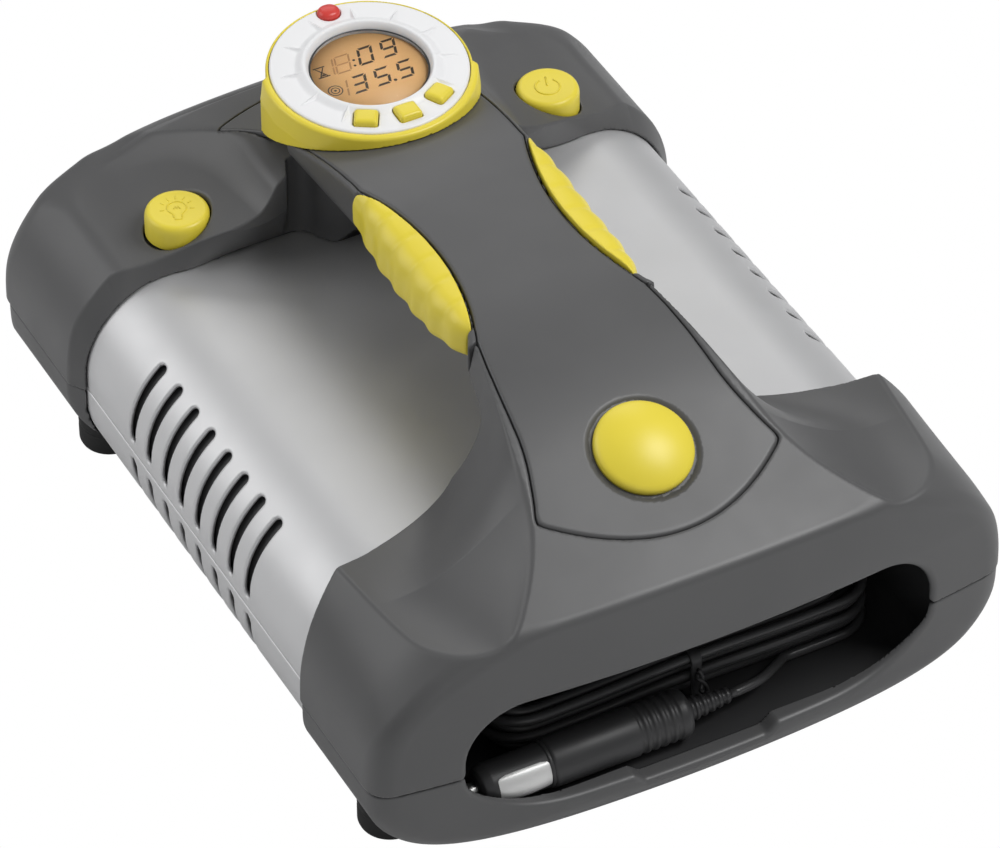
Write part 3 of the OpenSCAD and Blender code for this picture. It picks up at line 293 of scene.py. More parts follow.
def recalc(obj, merge=False, sharp=None):
    """Outward normals and smooth shading, with doubles merged and edges over that angle kept sharp where asked."""
    bm = bmesh.new()
    bm.from_mesh(obj.data)
    if merge:
        bmesh.ops.remove_doubles(bm, verts=bm.verts, dist=1e-6)
        bmesh.ops.dissolve_degenerate(bm, edges=bm.edges, dist=1e-7)
    bmesh.ops.recalc_face_normals(bm, faces=bm.faces)
    bm.to_mesh(obj.data)
    bm.free()
    obj.data.shade_smooth()
    if sharp:
        obj.data.set_sharp_from_angle(angle=math.radians(sharp))


def dress(obj, mat, nodes=(), body=HOUSING, slot=None):
    """Gives a piece its material and body, and hides the nodes it replaces."""
    obj.data.materials.clear()
    obj.data.materials.append(mat)
    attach(obj, body)
    if nodes:
        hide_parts(*nodes)
    return obj


def round_profile(points, radius, steps=4):
    """Open profile with each inner corner replaced by an arc-like curve. radius: one number or one per point."""
    pts = [np.array(p, float) for p in points]
    out = [pts[0]]
    for i in range(1, len(pts) - 1):
        r = radius if np.isscalar(radius) else radius[i]
        a, b, c = pts[i - 1], pts[i], pts[i + 1]
        la, lc = np.linalg.norm(a - b), np.linalg.norm(c - b)
        cut = min(r, la * 0.49, lc * 0.49)
        if cut < 1e-4:
            out.append(b)
            continue
        p, q = b + (a - b) / la * cut, b + (c - b) / lc * cut
        for k in range(steps + 1):
            t = k / steps
            out.append((1 - t) ** 2 * p + 2 * t * (1 - t) * b + t * t * q)
    out.append(pts[-1])
    return out


def lathe(name, profile, place, mat, seg=96, **kw):
    """Turned solid. profile is (radius, height) in mm; place is a matrix in mm whose Z is the axis."""
    n = len(profile)
    verts, faces = [], []
    for k in range(seg):
        a = 2 * math.pi * k / seg
        verts += [(r * math.cos(a), r * math.sin(a), z) for r, z in profile]
    for k in range(seg):
        b = (k + 1) % seg
        faces += [(k * n + i, b * n + i, b * n + i + 1, k * n + i + 1) for i in range(n - 1)]
    verts = [tuple((place @ Vector(v)) * MM) for v in verts]
    obj = link(name, verts, faces)
    recalc(obj, merge=True)
    return dress(obj, mat, **kw)


def tube(name, path, radius, sides, mat, **kw):
    """Round tube along points in mm, with closed ends, kept from twisting."""
    p = np.array(path, float)
    t = np.gradient(p, axis=0)
    t /= np.linalg.norm(t, axis=1)[:, None]
    up = np.array([0, 0, 1.0]) if abs(t[0][2]) < 0.9 else np.array([1.0, 0, 0])
    verts = []
    for q, d in zip(p, t):
        up = up - d * (up @ d)
        up /= np.linalg.norm(up)
        side = np.cross(d, up)
        for k in range(sides):
            a = 2 * math.pi * k / sides
            verts.append((q + radius * (math.cos(a) * side + math.sin(a) * up)) * MM)
    faces = [(j * sides + i, j * sides + (i + 1) % sides, (j + 1) * sides + (i + 1) % sides, (j + 1) * sides + i)
             for j in range(len(p) - 1) for i in range(sides)]
    last = (len(p) - 1) * sides
    faces += [tuple(range(sides))[::-1], tuple(range(last, last + sides))]
    obj = link(name, verts, faces)
    recalc(obj)
    return dress(obj, mat, **kw)


def at(x, y, z):
    return Matrix.Translation((x, y, z))


# -------------------- materials
class Look:
    """A Principled material with helpers for procedural inputs."""

    def __init__(self, name, color, rough, **inputs):
        self.mat = bpy.data.materials.new(name)
        self.mat.use_nodes = True
        self.tree = self.mat.node_tree
        self.bsdf = next(n for n in self.tree.nodes if n.type == "BSDF_PRINCIPLED")
        self.set("Base Color", (*color, 1))
        self.set("Roughness", rough)
        for key, value in inputs.items():
            self.set(key.replace("_", " "), value)

    def set(self, key, value):
        self.bsdf.inputs[key].default_value = value

    def node(self, kind, **inputs):
        n = self.tree.nodes.new(kind)
        for key, value in inputs.items():
            n.inputs[key.replace("_", " ")].default_value = value
        return n

    def wire(self, a, b):
        self.tree.links.new(a, b)

    def noise(self, scale, detail=2.0, rough=0.5):
        coords = self.tree.nodes.new("ShaderNodeTexCoord")
        n = self.node("ShaderNodeTexNoise", Scale=scale, Detail=detail, Roughness=rough)
        self.wire(coords.outputs["Object"], n.inputs["Vector"])
        return n.outputs["Fac"]

    def ramp(self, fac, low, high, at_low=0.3, at_high=0.7):
        n = self.tree.nodes.new("ShaderNodeMapRange")
        n.inputs["From Min"].default_value, n.inputs["From Max"].default_value = at_low, at_high
        n.inputs["To Min"].default_value, n.inputs["To Max"].default_value = low, high
        self.wire(fac, n.inputs["Value"])
        return n.outputs["Result"]

    def mix(self, fac, a, b):
        n = self.tree.nodes.new("ShaderNodeMix")
        n.data_type = "RGBA"
        n.inputs["A"].default_value, n.inputs["B"].default_value = (*a, 1), (*b, 1)
        self.wire(fac, n.inputs["Factor"])
        return n.outputs["Result"]

    def bump(self, fac, strength, distance):
        n = self.node("ShaderNodeBump", Strength=strength, Distance=distance)
        self.wire(fac, n.inputs["Height"])
        self.wire(n.outputs["Normal"], self.bsdf.inputs["Normal"])

    def finish(self, base, shade, rough, grain_scale, grain, depth, patch_scale=14.0):
        """Colour drift over the piece, roughness drift, and a fine grain."""
        patch = self.noise(patch_scale, 4.0)
        self.wire(self.mix(self.ramp(patch, 0, 1), base, shade), self.bsdf.inputs["Base Color"])
        self.wire(self.ramp(self.noise(patch_scale * 3, 3.0), *rough), self.bsdf.inputs["Roughness"])
        self.bump(self.noise(grain_scale, 3.0, 0.6), grain, depth)
        return self.mat


def plastic(name, base, shade, rough, grain_scale=2600.0, grain=0.22, depth=0.00008, **inputs):
    return Look(name, base, rough[0], **inputs).finish(base, shade, rough, grain_scale, grain, depth)


# name, base colour, its drift, roughness from and to, grain scale, grain strength
GREY = plastic("grey_plastic", (0.088, 0.088, 0.089), (0.080, 0.080, 0.081), (0.40, 0.46), Specular_IOR_Level=0.5)
SILVER = plastic("silver_paint", (0.64, 0.64, 0.645), (0.615, 0.615, 0.62), (0.48, 0.54), 3400.0, 0.12,
                 Metallic=0.65)
YELLOW = plastic("yellow_plastic", (0.80, 0.66, 0.055), (0.77, 0.63, 0.05), (0.36, 0.42), 2200.0, 0.08)
BLACK = plastic("black_plastic", (0.036, 0.036, 0.037), (0.030, 0.030, 0.031), (0.40, 0.48), 2400.0, 0.2)
RUBBER = plastic("foot_rubber", (0.022, 0.022, 0.022), (0.016, 0.016, 0.016), (0.72, 0.82), 1800.0, 0.3)
BEZEL = plastic("bezel_paint", (0.82, 0.82, 0.825), (0.80, 0.80, 0.805), (0.36, 0.42), 3400.0, 0.08)
RED = plastic("red_plastic", (0.66, 0.055, 0.045), (0.62, 0.05, 0.04), (0.3, 0.36), 2200.0, 0.05)
CORD = plastic("cord_pvc", (0.060, 0.060, 0.061), (0.050, 0.050, 0.051), (0.30, 0.40), 1500.0, 0.15)
STEEL = plastic("steel", (0.56, 0.56, 0.55), (0.50, 0.50, 0.49), (0.24, 0.34), 900.0, 0.1, Metallic=1.0)
ALLOY = plastic("cast_alloy", (0.52, 0.52, 0.53), (0.46, 0.46, 0.47), (0.42, 0.55), 900.0, 0.35, Metallic=0.9)
PLATED = plastic("plated_steel", (0.80, 0.80, 0.79), (0.72, 0.72, 0.71), (0.40, 0.48), 900.0, 0.1, Metallic=0.55)
NYLON = plastic("nylon", (0.70, 0.69, 0.62), (0.66, 0.65, 0.58), (0.45, 0.55), 1500.0, 0.1)
BOARD = plastic("board_mask", (0.02, 0.13, 0.05), (0.015, 0.10, 0.04), (0.35, 0.45), 700.0, 0.15)
LAMP = plastic("lamp_clear", (0.85, 0.87, 0.90), (0.82, 0.84, 0.88), (0.12, 0.18), 600.0, 0.05,
               Transmission_Weight=0.5)
LCD = plastic("lcd_amber", (0.80, 0.47, 0.20), (0.73, 0.41, 0.17), (0.45, 0.5), 2600.0, 0.03)
SEGMENT = plastic("lcd_segment", (0.05, 0.028, 0.015), (0.04, 0.024, 0.014), (0.5, 0.6), 2600.0, 0.02)
GHOST = plastic("lcd_ghost", (0.46, 0.22, 0.085), (0.44, 0.21, 0.08), (0.5, 0.6), 2600.0, 0.02)
GLASS = plastic("glass_clear", (1.0, 1.0, 0.99), (0.99, 0.99, 0.98), (0.0, 0.01), 600.0, 0.0,
                Transmission_Weight=1.0, IOR=1.03)
LENS = plastic("lens_clear", (1.0, 0.93, 0.85), (0.99, 0.92, 0.84), (0.06, 0.08), 600.0, 0.01,
               Transmission_Weight=1.0, IOR=1.2)

# the material of each slot; the CAD nodes wear theirs too
BY_SLOT = {
    "grey_plastic": GREY, "silver_paint": SILVER, "yellow_plastic": YELLOW, "black_plastic": BLACK,
    "rubber": RUBBER, "bezel_silver": BEZEL, "amber_lens": LENS, "display_amber": LCD, "red_plastic": RED,
    "alloy": ALLOY, "steel": STEEL, "nylon": NYLON, "board_green": BOARD, "cord_black": CORD,
    "lamp_clear": LAMP,
}
for part in frame["record"]["subparts"]:
    shown = frame["nodes"][part["node"]]
    shown.data.materials.clear()
    shown.data.materials.append(BY_SLOT[part["material_slot"]])

# -------------------- power lead, on the route of the CAD source
CORD_D, HANK_X, HANK_Y, HANK_LOW = 4.0, 12.0, -130.8, 36.4
HANK_HALF, HANK_R, HANK_STEP, HANK_RISE = 86.0, 8.0, 9.8, 4.6
HANK_FROM, HANK_LOOPS, HANK_LAYERS, WAIST = 75, 9, 5, 0.92
PLUG_Y, PLUG_Z, PLUG_R = -162.0, 43.4, 10.3
GLAND_X, GLAND_Z, GLAND_SEAT, GLAND_TIP = 60.0, 84.0, -109.8, -117.8


def racetrack(a, r):
    """Point at angle a on a loop with straight runs and round ends of radius r."""
    s, q = HANK_HALF - HANK_R - HANK_STEP, a % 360
    if q < 90:
        return -s * (1 - q / 45), -r
    if q < 180:
        b = math.radians(2 * q - 180)
        return s + r * math.sin(b), -r * math.cos(b)
    if q < 270:
        return s * (5 - q / 45), r
    b = math.radians(2 * q - 540)
    return -s - r * math.sin(b), r * math.cos(b)


def hank_point(a):
    """Point on the hank: loops that spiral in and out again and climb a layer where they turn back."""
    turn = a / 360
    layer = min(HANK_LAYERS - 1, math.floor(turn / 2))
    inner = turn - 2 * layer
    f = 1 - inner / 2 if layer % 2 == 0 else inner / 2
    climb = float(ease((inner - 1.85) / 0.15)) if layer < HANK_LAYERS - 1 else 0.0
    px, py = racetrack(a, HANK_R + HANK_STEP * f)
    draw = WAIST + (1 - WAIST) * float(ease(abs(px) / (HANK_HALF * 0.6)))
    return np.array((HANK_X + px, HANK_Y + py * draw, HANK_LOW + (layer + climb) * HANK_RISE))


def spline(points, steps):
    """Smooth curve through the points."""
    p = [np.array(q, float) for q in points]
    out = []
    for i in range(len(p) - 1):
        a, b, c, d = p[max(0, i - 1)], p[i], p[i + 1], p[min(len(p) - 1, i + 2)]
        for k in range(steps):
            t = k / steps
            out.append(0.5 * (2 * b + (c - a) * t + (2 * a - 5 * b + 4 * c - d) * t * t
                              + (3 * b - a - 3 * c + d) * t**3))
    return out + [p[-1]]


tail, head = hank_point(HANK_FROM + 360 * HANK_LOOPS), hank_point(HANK_FROM)
gland_end = np.array((GLAND_X, GLAND_TIP, GLAND_Z))
lead_in = spline([tail + (4, 0, 0), (74, -142, 56), (86, -139, 63), (89, -132, 72), (80, -127, 80),
                  (68, -127.5, 84.5), (61.2, -124.8, 84.1), gland_end - (0, 4, 0)], 4) + [gland_end]
hank = [hank_point(HANK_FROM + i * 360 / 48) for i in range(HANK_LOOPS * 48 + 1)]
lead_out = [np.array((20.0, PLUG_Y, PLUG_Z))] + spline(
    [(24, PLUG_Y, PLUG_Z), (35, -159.5, 42), (45, -153.5, 39), head - (4, 0, 0)], 4)
route = np.array(lead_in[::-1] + hank[::-1] + lead_out[::-1])
lead = tube("power_lead", route, CORD_D / 2, 12, CORD, nodes=("cord_lead_in", "cord_hank", "cord_lead_out"),
            slot="cord_black")

at_plug = at(0, PLUG_Y, PLUG_Z) @ Matrix.Rotation(math.pi / 2, 4, "Y")
plug_shape = [(0, -93), (6.4, -93), (8.3, -91.6), (9.3, -88), (9.3, -62.6), (9.9, -62), (PLUG_R, -61.2)]
for k in range(5):
    groove = -24 + 4 * k
    plug_shape += [(PLUG_R, groove), (9.7, groove + 0.6), (9.7, groove + 2), (PLUG_R, groove + 2.6)]
plug_shape += [(PLUG_R, -2.4), (9.2, -0.4), (7, 0), (0, 0)]
plug = lathe("plug_housing", round_profile(plug_shape, 0.5, 2), at_plug, BLACK, 72, nodes=("plug_body",),
             slot="black_plastic")
collar = lathe("plug_collar", round_profile([(9.0, -64), (9.9, -63.6), (9.9, -62.4), (9.0, -62)], 0.3, 2),
               at_plug, BLACK, 72, slot="black_plastic")
relief = [(0, -0.1), (5.5, -0.1)]
for k in range(5):
    rr, rib = 5.3 - 0.42 * k, 3.6 * k
    relief += [(rr, 1.2 + rib), (rr - 0.9, 1.8 + rib), (rr - 0.9, 3.0 + rib), (rr - 0.2, 3.6 + rib)]
relief += [(3.2, 19.4), (2.4, 20), (0, 20)]
boot = lathe("plug_boot", round_profile(relief, 0.3, 2), at_plug, BLACK, 48, nodes=("plug_strain_relief",),
             slot="black_plastic")
tip = lathe("plug_tip_cap", round_profile([(0, -98), (1.8, -98), (3.3, -96.8), (3.5, -95.4), (3.5, -90.1),
                                           (4.2, -90), (4.2, -88.6), (0, -88.6)], 0.5, 3), at_plug, STEEL, 48,
            nodes=("plug_tip",), body="plug_tip_body", slot="steel")


def contact_plate(name, middle, **kw):
    """Sprung side contact: a strip bowed along the plug, wrapped round the nose, with its edges turned in."""
    rows, cols = 25, 17
    verts = []
    for skin in (0.0, -0.5):
        for i in range(rows):
            t = i / (rows - 1)
            x = -87 + 24 * t
            lift = 9.15 + 1.0 * math.sin(math.pi * t) ** 0.7
            for j in range(cols):
                a = middle + math.radians(38) * (2 * j / (cols - 1) - 1)
                edge = abs(2 * j / (cols - 1) - 1) ** 8
                r0 = lift - 0.5 * edge + skin
                verts.append((x, PLUG_Y + r0 * math.cos(a), PLUG_Z + r0 * math.sin(a)))
    n, faces = rows * cols, []
    for i in range(rows - 1):
        for q in range(i * cols, (i + 1) * cols - 1):
            faces += [(q, q + 1, q + cols + 1, q + cols), (q + n, q + n + cols, q + n + cols + 1, q + n + 1)]
        faces += [(q, q + cols, q + cols + n, q + n) for q in (i * cols, (i + 1) * cols - 1)]
    faces += [(q, q + 1, q + 1 + n, q + n) for j in range(cols - 1) for q in (j, n - cols + j)]
    obj = link(name, np.array(verts) * MM, faces)
    recalc(obj, sharp=40)
    return dress(obj, PLATED, **kw)


contact_a = contact_plate("plug_contact_front", math.radians(162), nodes=("plug_contacts",), slot="steel")
contact_b = contact_plate("plug_contact_back", math.radians(-18), slot="steel")
gland = [(0, -8), (4.5, -8), (4.5, 0), (7.2, 0), (7.2, 1.4), (6.0, 2), (5.5, 3), (4.6, 3.2), (4.6, 4), (5.0, 4.4),
         (4.2, 5.6), (3.6, 5.8), (3.6, 6.4), (3.9, 6.8), (3.2, 8), (0, 8)]
lathe("lead_gland", round_profile(gland, 0.25, 2),
      at(GLAND_X, GLAND_SEAT, GLAND_Z) @ Matrix.Rotation(math.pi / 2, 4, "X"), BLACK, 48, nodes=("cord_gland",),
      slot="black_plastic")


def band(name, ring, half_w, thick, mat, **kw):
    """Flat band swept round a closed ring of (y, z) points across the hank's waist."""
    p = np.array(ring, float)
    t = np.roll(p, -1, 0) - np.roll(p, 1, 0)
    t /= np.linalg.norm(t, axis=1)[:, None]
    out = np.stack([t[:, 1], -t[:, 0]], 1)
    rim = [(-half_w, 0), (-half_w, thick * 0.7), (-half_w * 0.8, thick), (half_w * 0.8, thick),
           (half_w, thick * 0.7), (half_w, 0)]
    verts = [(HANK_X + a, *(q + o * b)) for q, o in zip(p, out) for a, b in rim]
    m, n = len(rim), len(p)
    faces = [(i * m + k, i * m + (k + 1) % m, (i + 1) % n * m + (k + 1) % m, (i + 1) % n * m + k)
             for i in range(n) for k in range(m)]
    obj = link(name, np.array(verts) * MM, faces)
    recalc(obj, sharp=40)
    return dress(obj, mat, **kw)


def ring_points(cy, cz, hy, hz, r, steps=8):
    """Outline of a rounded rectangle."""
    out = []
    for sy, sz, a0 in ((1, 1, 0), (-1, 1, 90), (-1, -1, 180), (1, -1, 270)):
        for k in range(steps + 1):
            a = math.radians(a0 + 90 * k / steps)
            out.append((cy + sy * (hy - r) + r * math.cos(a), cz + sz * (hz - r) + r * math.sin(a)))
    return out


TIE_Y, TIE_Z = 18.6, 11.4
band("lead_tie", ring_points(HANK_Y, 34.2 + TIE_Z, TIE_Y, TIE_Z, 3.0), 2.3, 1.1, BLACK, nodes=("cord_tie",),
     slot="black_plastic")
for name, turn, drift, step, fall, end in (("a", 1, 0.0, 3.2, 4.2, 1.7), ("b", -1, 0.6, 3.0, 4.6, 1.9)):
    twist = [(HANK_X + turn * 1.1 * math.sin(3.4 * t) + drift * t, HANK_Y - TIE_Y - 1.9 - step * t,
              50 - fall * t + turn * 1.1 * math.cos(3.4 * t)) for t in np.linspace(0, end, 18)]
    tube("lead_tie_end_" + name, twist, 0.9, 8, BLACK, slot="black_plastic")


# -------------------- moulded shells
def mouth_at(x, z):
    """Outline of the bay's mouth on the front face; negative in the opening."""
    u = np.abs(x)
    lip = 38.5 + 17.5 * np.maximum(0, (u - 50) / 50) ** 2.6 - 4.5 * ease((33 - u) / 7)
    return smax(box2(x, z - MOUTH_Z, MOUTH_HALF_X, MOUTH_HALF_Z, 25), (lip - z) * 0.95, 5)


def between(f, v, lo, hi):
    """The solid f, cut off where the coordinate v leaves lo to hi."""
    return np.maximum(np.maximum(f, lo - v), v - hi)


def bay_at(x, y, z):
    """Room for the liner behind the mouth."""
    return between(box2(x, z - PART_Z, BAY_HALF_X, BAY_HALF_Z, 12), y, BAY_FRONT, BAY_REAR)


def cover_at(x, y, grow=0.0):
    """Outline of the handle cover in plan, with its bowed ends."""
    end_front, end_rear = -137.7, 135.0
    c = np.clip(y, end_front, end_rear)
    half = cover_half(c) + np.interp(-c, (58, 72, 86, 105, 123, 138), (0, 1.4, 2.1, 2.5, 3.4, 3.4))
    s2 = clamp(x / half, -1.2, 1.2) ** 2
    front = end_front - 21.5 * (1 - s2) - y
    rear = y - end_rear - 18 * (1 - s2)
    return smax(smax(np.abs(x) - half, front * 0.85, 3), rear * 0.85, 3) - grow


def cover_recess(x, y, z):
    """Recess that the handle cover lies in."""
    return np.maximum(cover_at(x, y, GAP), spine_z(y) - COVER_T - 0.6 - z)


def shell_section(x, z, grow=0.0):
    return box2(x, z - PART_Z, SHELL_HALF + grow, SHELL_TOP - PART_Z + grow, SHELL_R + grow)


def shell_seat(x, y, z, y0, y1):
    """Space for the shell's end in a housing."""
    return between(shell_section(x, z, SEAT_GAP), y, y0, y1)


def flank(x, z, edge, top, half):
    """Signed distance, nearly, to the outer skin of a housing's side."""
    e = 0.3
    w = side_half(z, edge, top, half)
    slope = (side_half(z + e, edge, top, half) - w) / e
    return (np.abs(x) - w) / np.sqrt(1 + slope * slope)


def bevel(x, z, out):
    """How far the bevelled edge of a housing has gone back, from the silver to the outer skin."""
    return clamp(shell_section(x, z) / out, 0, 1.25)


def post(x, y, z, middle, top, radius, flare):
    """Round post under the handle, flared at its foot on the shell."""
    low = SHELL_TOP + 0.5
    foot = flare * np.exp(-np.maximum(0, z - low) / 3)
    return between((np.hypot(x, y - middle) - radius - foot) * 0.8, z, low, top)


def front_upper(x, y, z):
    """Ramp, scoops, brow and handle root, with the mouth, the bay and the finger gap taken out."""
    u = np.abs(x)
    lean = BROW_BACK * clamp((z - 98) / 32, 0, 1.3) ** 1.4
    face = -y - face_at(u) + lean
    f = smax(face, flank(x, z, shoulder_half(y), SHOULDER_Z, HALF_W), 6 + 4 * ease((108 - z) / 30))
    f = smax(f, height(front_top, x, y, z), 1.5 + 1.2 * ease((88 - u) / 14))
    back = front_back(u)
    back = back + (-HANDLE_FRONT + 2.3 - back) * ease((z - 138) / 14)
    f = smax(f, y - back + 1.2 * bevel(x, z, 6) + 1.0, 1.0)
    under = 157 - 0.25 * np.maximum(0, -y - HANDLE_FRONT) - z
    gap = smax(smax(POST_R - np.hypot(x, y - POST_Y), -under, 5), -y - 85 + 0.5 * (u - 40), 10)
    gap = np.maximum(gap, scoop_z(u, y) + 0.35 - z)
    f = smax(f, -gap, 2)
    f = smin(f, post(x, y, z, POST_Y, GRIP_UNDER, POST_R, 6.5), 4)
    f = smax(f, PART_Z + GAP - z, 0.8)
    f = smax(f, -np.maximum(mouth_at(x, z), y - MOUTH_BACK), 3.2)
    f = np.maximum(f, -bay_at(x, y, z))
    f = smax(f, -shell_seat(x, y, z, SHELL_FRONT - SEAT_GAP, 0), 0.6)
    return smax(f, -cover_recess(x, y, z), 1.5)


def belly_section(x, z):
    """Rounded section of the housings below the parting line."""
    bend = 2.7
    u = np.abs(x) / HALF_W
    v = np.abs(z - PART_Z) / (PART_Z - BASE_Z)
    r = (u**bend + v**bend + 1e-9) ** (1 / bend)
    return (r - 1) * 60


def lower_skin(x, y, z, corner):
    """Outer skin of a lower housing, with a boss over each foot."""
    u = np.abs(x)
    ends = box2(y * HALF_L / face_at(u), z - PART_Z, HALF_L, PART_Z - BASE_Z, 22)
    f = smax(belly_section(x, z), ends, 8)
    f = smax(f, smax(np.abs(y) - face_at(u), u - HALF_W, corner), 1)
    along = np.abs(y - (FOOT_REAR + FOOT_FRONT) / 2) - (FOOT_REAR - FOOT_FRONT) / 2
    boss = smax(np.hypot(u - FOOT_X, along) - FOOT_R - 0.2, FOOT_TOP + 0.2 - z, 1.0)
    return smin(f, np.maximum(boss, z - 45), 5)


def front_lower(x, y, z):
    """Lower lip of the bay."""
    f = lower_skin(x, y, z, 10)
    f = smax(f, z - PART_Z + GAP, 0.8)
    f = smax(f, y + FRONT_EDGE + 4 * bevel(x, z, 6), 1.0)
    f = smax(f, -np.maximum(mouth_at(x, z), y - MOUTH_BACK), 3.2)
    f = np.maximum(f, -bay_at(x, y, z))
    return np.maximum(f, -shell_seat(x, y, z, SHELL_FRONT - SEAT_GAP, 0))


def hollow_at(x, y, z, y0, y1):
    """Room inside a rear housing."""
    return between(box2(x, z - PART_Z, 128, 40, 34), y, y0, y1)


def rear_bevel(x, z):
    """Front boundary of the rear housing: over the silver at its foot, at the pod's edge on top."""
    u = np.abs(x)
    out = np.interp(u, (75, 120, 136), (16, 10, 6))
    far = clamp((shell_section(x, z) - 1.2) / out, 0, 1.2)
    base = REAR_EDGE + GAP - 1.7 * np.exp(-(((u - BUTTON_X) / 14) ** 2))
    return base + (pod_edge(u) - base) * far ** np.interp(u, (95, 115), (0.8, 1.0))


def rear_upper(x, y, z):
    """Deck and pods, with the button wells, the lamp's hole and the inside taken out."""
    u = np.abs(x)
    f = smax(y - face_at(u), flank(x, z, HALF_W - 23, POD_LOW, HALF_W), 8 + 4 * ease((z - 80) / 30))
    f = smax(f, height(rear_top, x, y, z), 2 + (16 - 10 * ease((u - 82) / 18)) * ease((y - 148) / 22))
    f = smax(f, (rear_bevel(x, z) - y) * 0.95, 0.9)
    f = smax(f, PART_Z + GAP - z, 0.8)
    for s in (-1, 1):
        well = np.maximum(np.hypot(x - s * BUTTON_X, y - BUTTON_Y) - WELL_R, WELL_LOW - z)
        f = smax(f, -well, 1.2)
    f = smin(f, post(x, y, z, REAR_POST_Y, 156, REAR_POST_R, 1.6), 5)
    f = np.maximum(f, -hollow_at(x, y, z, REAR_EDGE - 9, 162))
    f = np.maximum(f, -shell_seat(x, y, z, 0, SHELL_REAR + SEAT_GAP))
    f = np.maximum(f, -np.maximum(np.hypot(x - LAMP_X, z - LAMP_Z) - LAMP_HOLE, 159 - y))
    return smax(f, -cover_recess(x, y, z), 0.9)


def rear_lower(x, y, z):
    """Lower rear housing, with the air outlet's hole."""
    f = lower_skin(x, y, z, 12)
    f = smax(f, z - PART_Z + GAP, 0.8)
    f = smax(f, REAR_EDGE + GAP + 9 * bevel(x, z, 6) - y, 1.2)
    f = np.maximum(f, -hollow_at(x, y, z, 101.5, 140))
    f = np.maximum(f, -shell_seat(x, y, z, 0, SHELL_REAR + SEAT_GAP))
    return np.maximum(f, -np.maximum(np.hypot(x - OUTLET_X, z - OUTLET_Z) - OUTLET_HOLE, 150 - y))


def slots_at(x, y, z, rise):
    """The vent slots: rounded bars that run round the corner of the shell."""
    du = np.abs(x) - (SHELL_HALF - SHELL_R)
    dv = rise * (z - PART_Z) - (SHELL_TOP - PART_Z - SHELL_R)
    arc = np.arctan2(dv, np.maximum(du, 1e-3)) * SHELL_R
    mid, half = 17.5, 19.6
    i = clamp(np.round((y - SLOT_FIRST) / SLOT_PITCH), 0, SLOT_COUNT - 1)
    across = y - (SLOT_FIRST + SLOT_PITCH * i)
    bar = box2(arc - mid, across, half, SLOT_HALF, SLOT_HALF - 0.1)
    return np.maximum(bar, 20 - du)


def shell_half(rise):
    """Upper (rise 1) or lower (rise -1) half of the silver shell."""
    def field(x, y, z):
        f = np.maximum(shell_section(x, z), -shell_section(x, z, -SHELL_T))
        f = smax(f, np.abs(y - (SHELL_REAR + SHELL_FRONT) / 2) - (SHELL_REAR - SHELL_FRONT) / 2, 0.5)
        f = smax(f, -slots_at(x, y, z, rise), 1.6)
        return smax(f, rise * (PART_Z - z) + 0.03, 0.3)
    return field


def handle_frame(x, y, z):
    """Bar under the cover, with a shoulder that closes the front end of the finger grips."""
    u = np.abs(x)
    half = frame_half(y) + 2.1 * ease((GRIP_FRONT - 0.1 - y) / 0.9)
    f = smax(height(top_z, x, y, z), (u - half) * 0.95, 2.6)
    under = GRIP_UNDER + 3 * clamp(u / half) ** 4 - z
    f = smax(f, under, 7)
    f = np.maximum(f, np.maximum(-HANDLE_FRONT + GAP - y, y - REAR_EDGE))
    return smax(f, -cover_recess(x, y, z), 0.9)


def emblem_local(x, y, z):
    """Distance from the emblem's axis, and height along it over the ramp."""
    dy, dz = y - EMBLEM_Y, z - EMBLEM_Z
    c, s = math.cos(TILT), math.sin(TILT)
    return np.hypot(x, dy * c + dz * s), dz * c - dy * s


def handle_cover(x, y, z):
    """Cover with a sunk ring round the emblem, and room under the gauge for the keys' travel."""
    f = smax(height(top_z, x, y, z), cover_at(x, y, -0.1), 1.5)
    f = np.maximum(f, spine_z(y) - COVER_T - z)
    f = smax(f, -np.maximum(np.hypot(x, y - GAUGE_Y) - 39.8, spine_z(y) - 2.2 - z), 0.4)
    r, h = emblem_local(x, y, z)
    return smax(f, h + 1.5 * clamp((EMBLEM_R + 3.4 - r) / 2.2), 0.8)


def grip(side):
    """A finger grip: a yellow lens beside the cover, with a swell for each finger."""
    def field(x, y, z):
        u = side * x
        t = (y - GRIP_MID) / np.where(y < GRIP_MID, 43.4, GRIP_HALF)
        inner = frame_half(y) + GAP
        wave = np.cos(2 * math.pi * 7 * (y + 59) / 100)
        full = 43.2 + 0.55 * wave
        outer = inner + 1.0 + (full - inner - 1.0) * np.sqrt(np.maximum(0, 1 - t**4))
        over = np.maximum(0, u - inner)
        crease = 0.45 * np.exp(-((1 + wave) / 0.22))
        top = z - (top_z(inner, y) + 0.9 - 0.02 * over**2 - crease * clamp(over / 3))
        f = smax(top * 0.97, (u - outer) * 0.95, 8)
        f = smax(f, 153.5 + 4 * t * t - z, 5)
        f = smax(f, inner - u, 0.6)
        return smax(f, np.maximum(y - GRIP_REAR, GRIP_FRONT - y), 0.8)
    return field


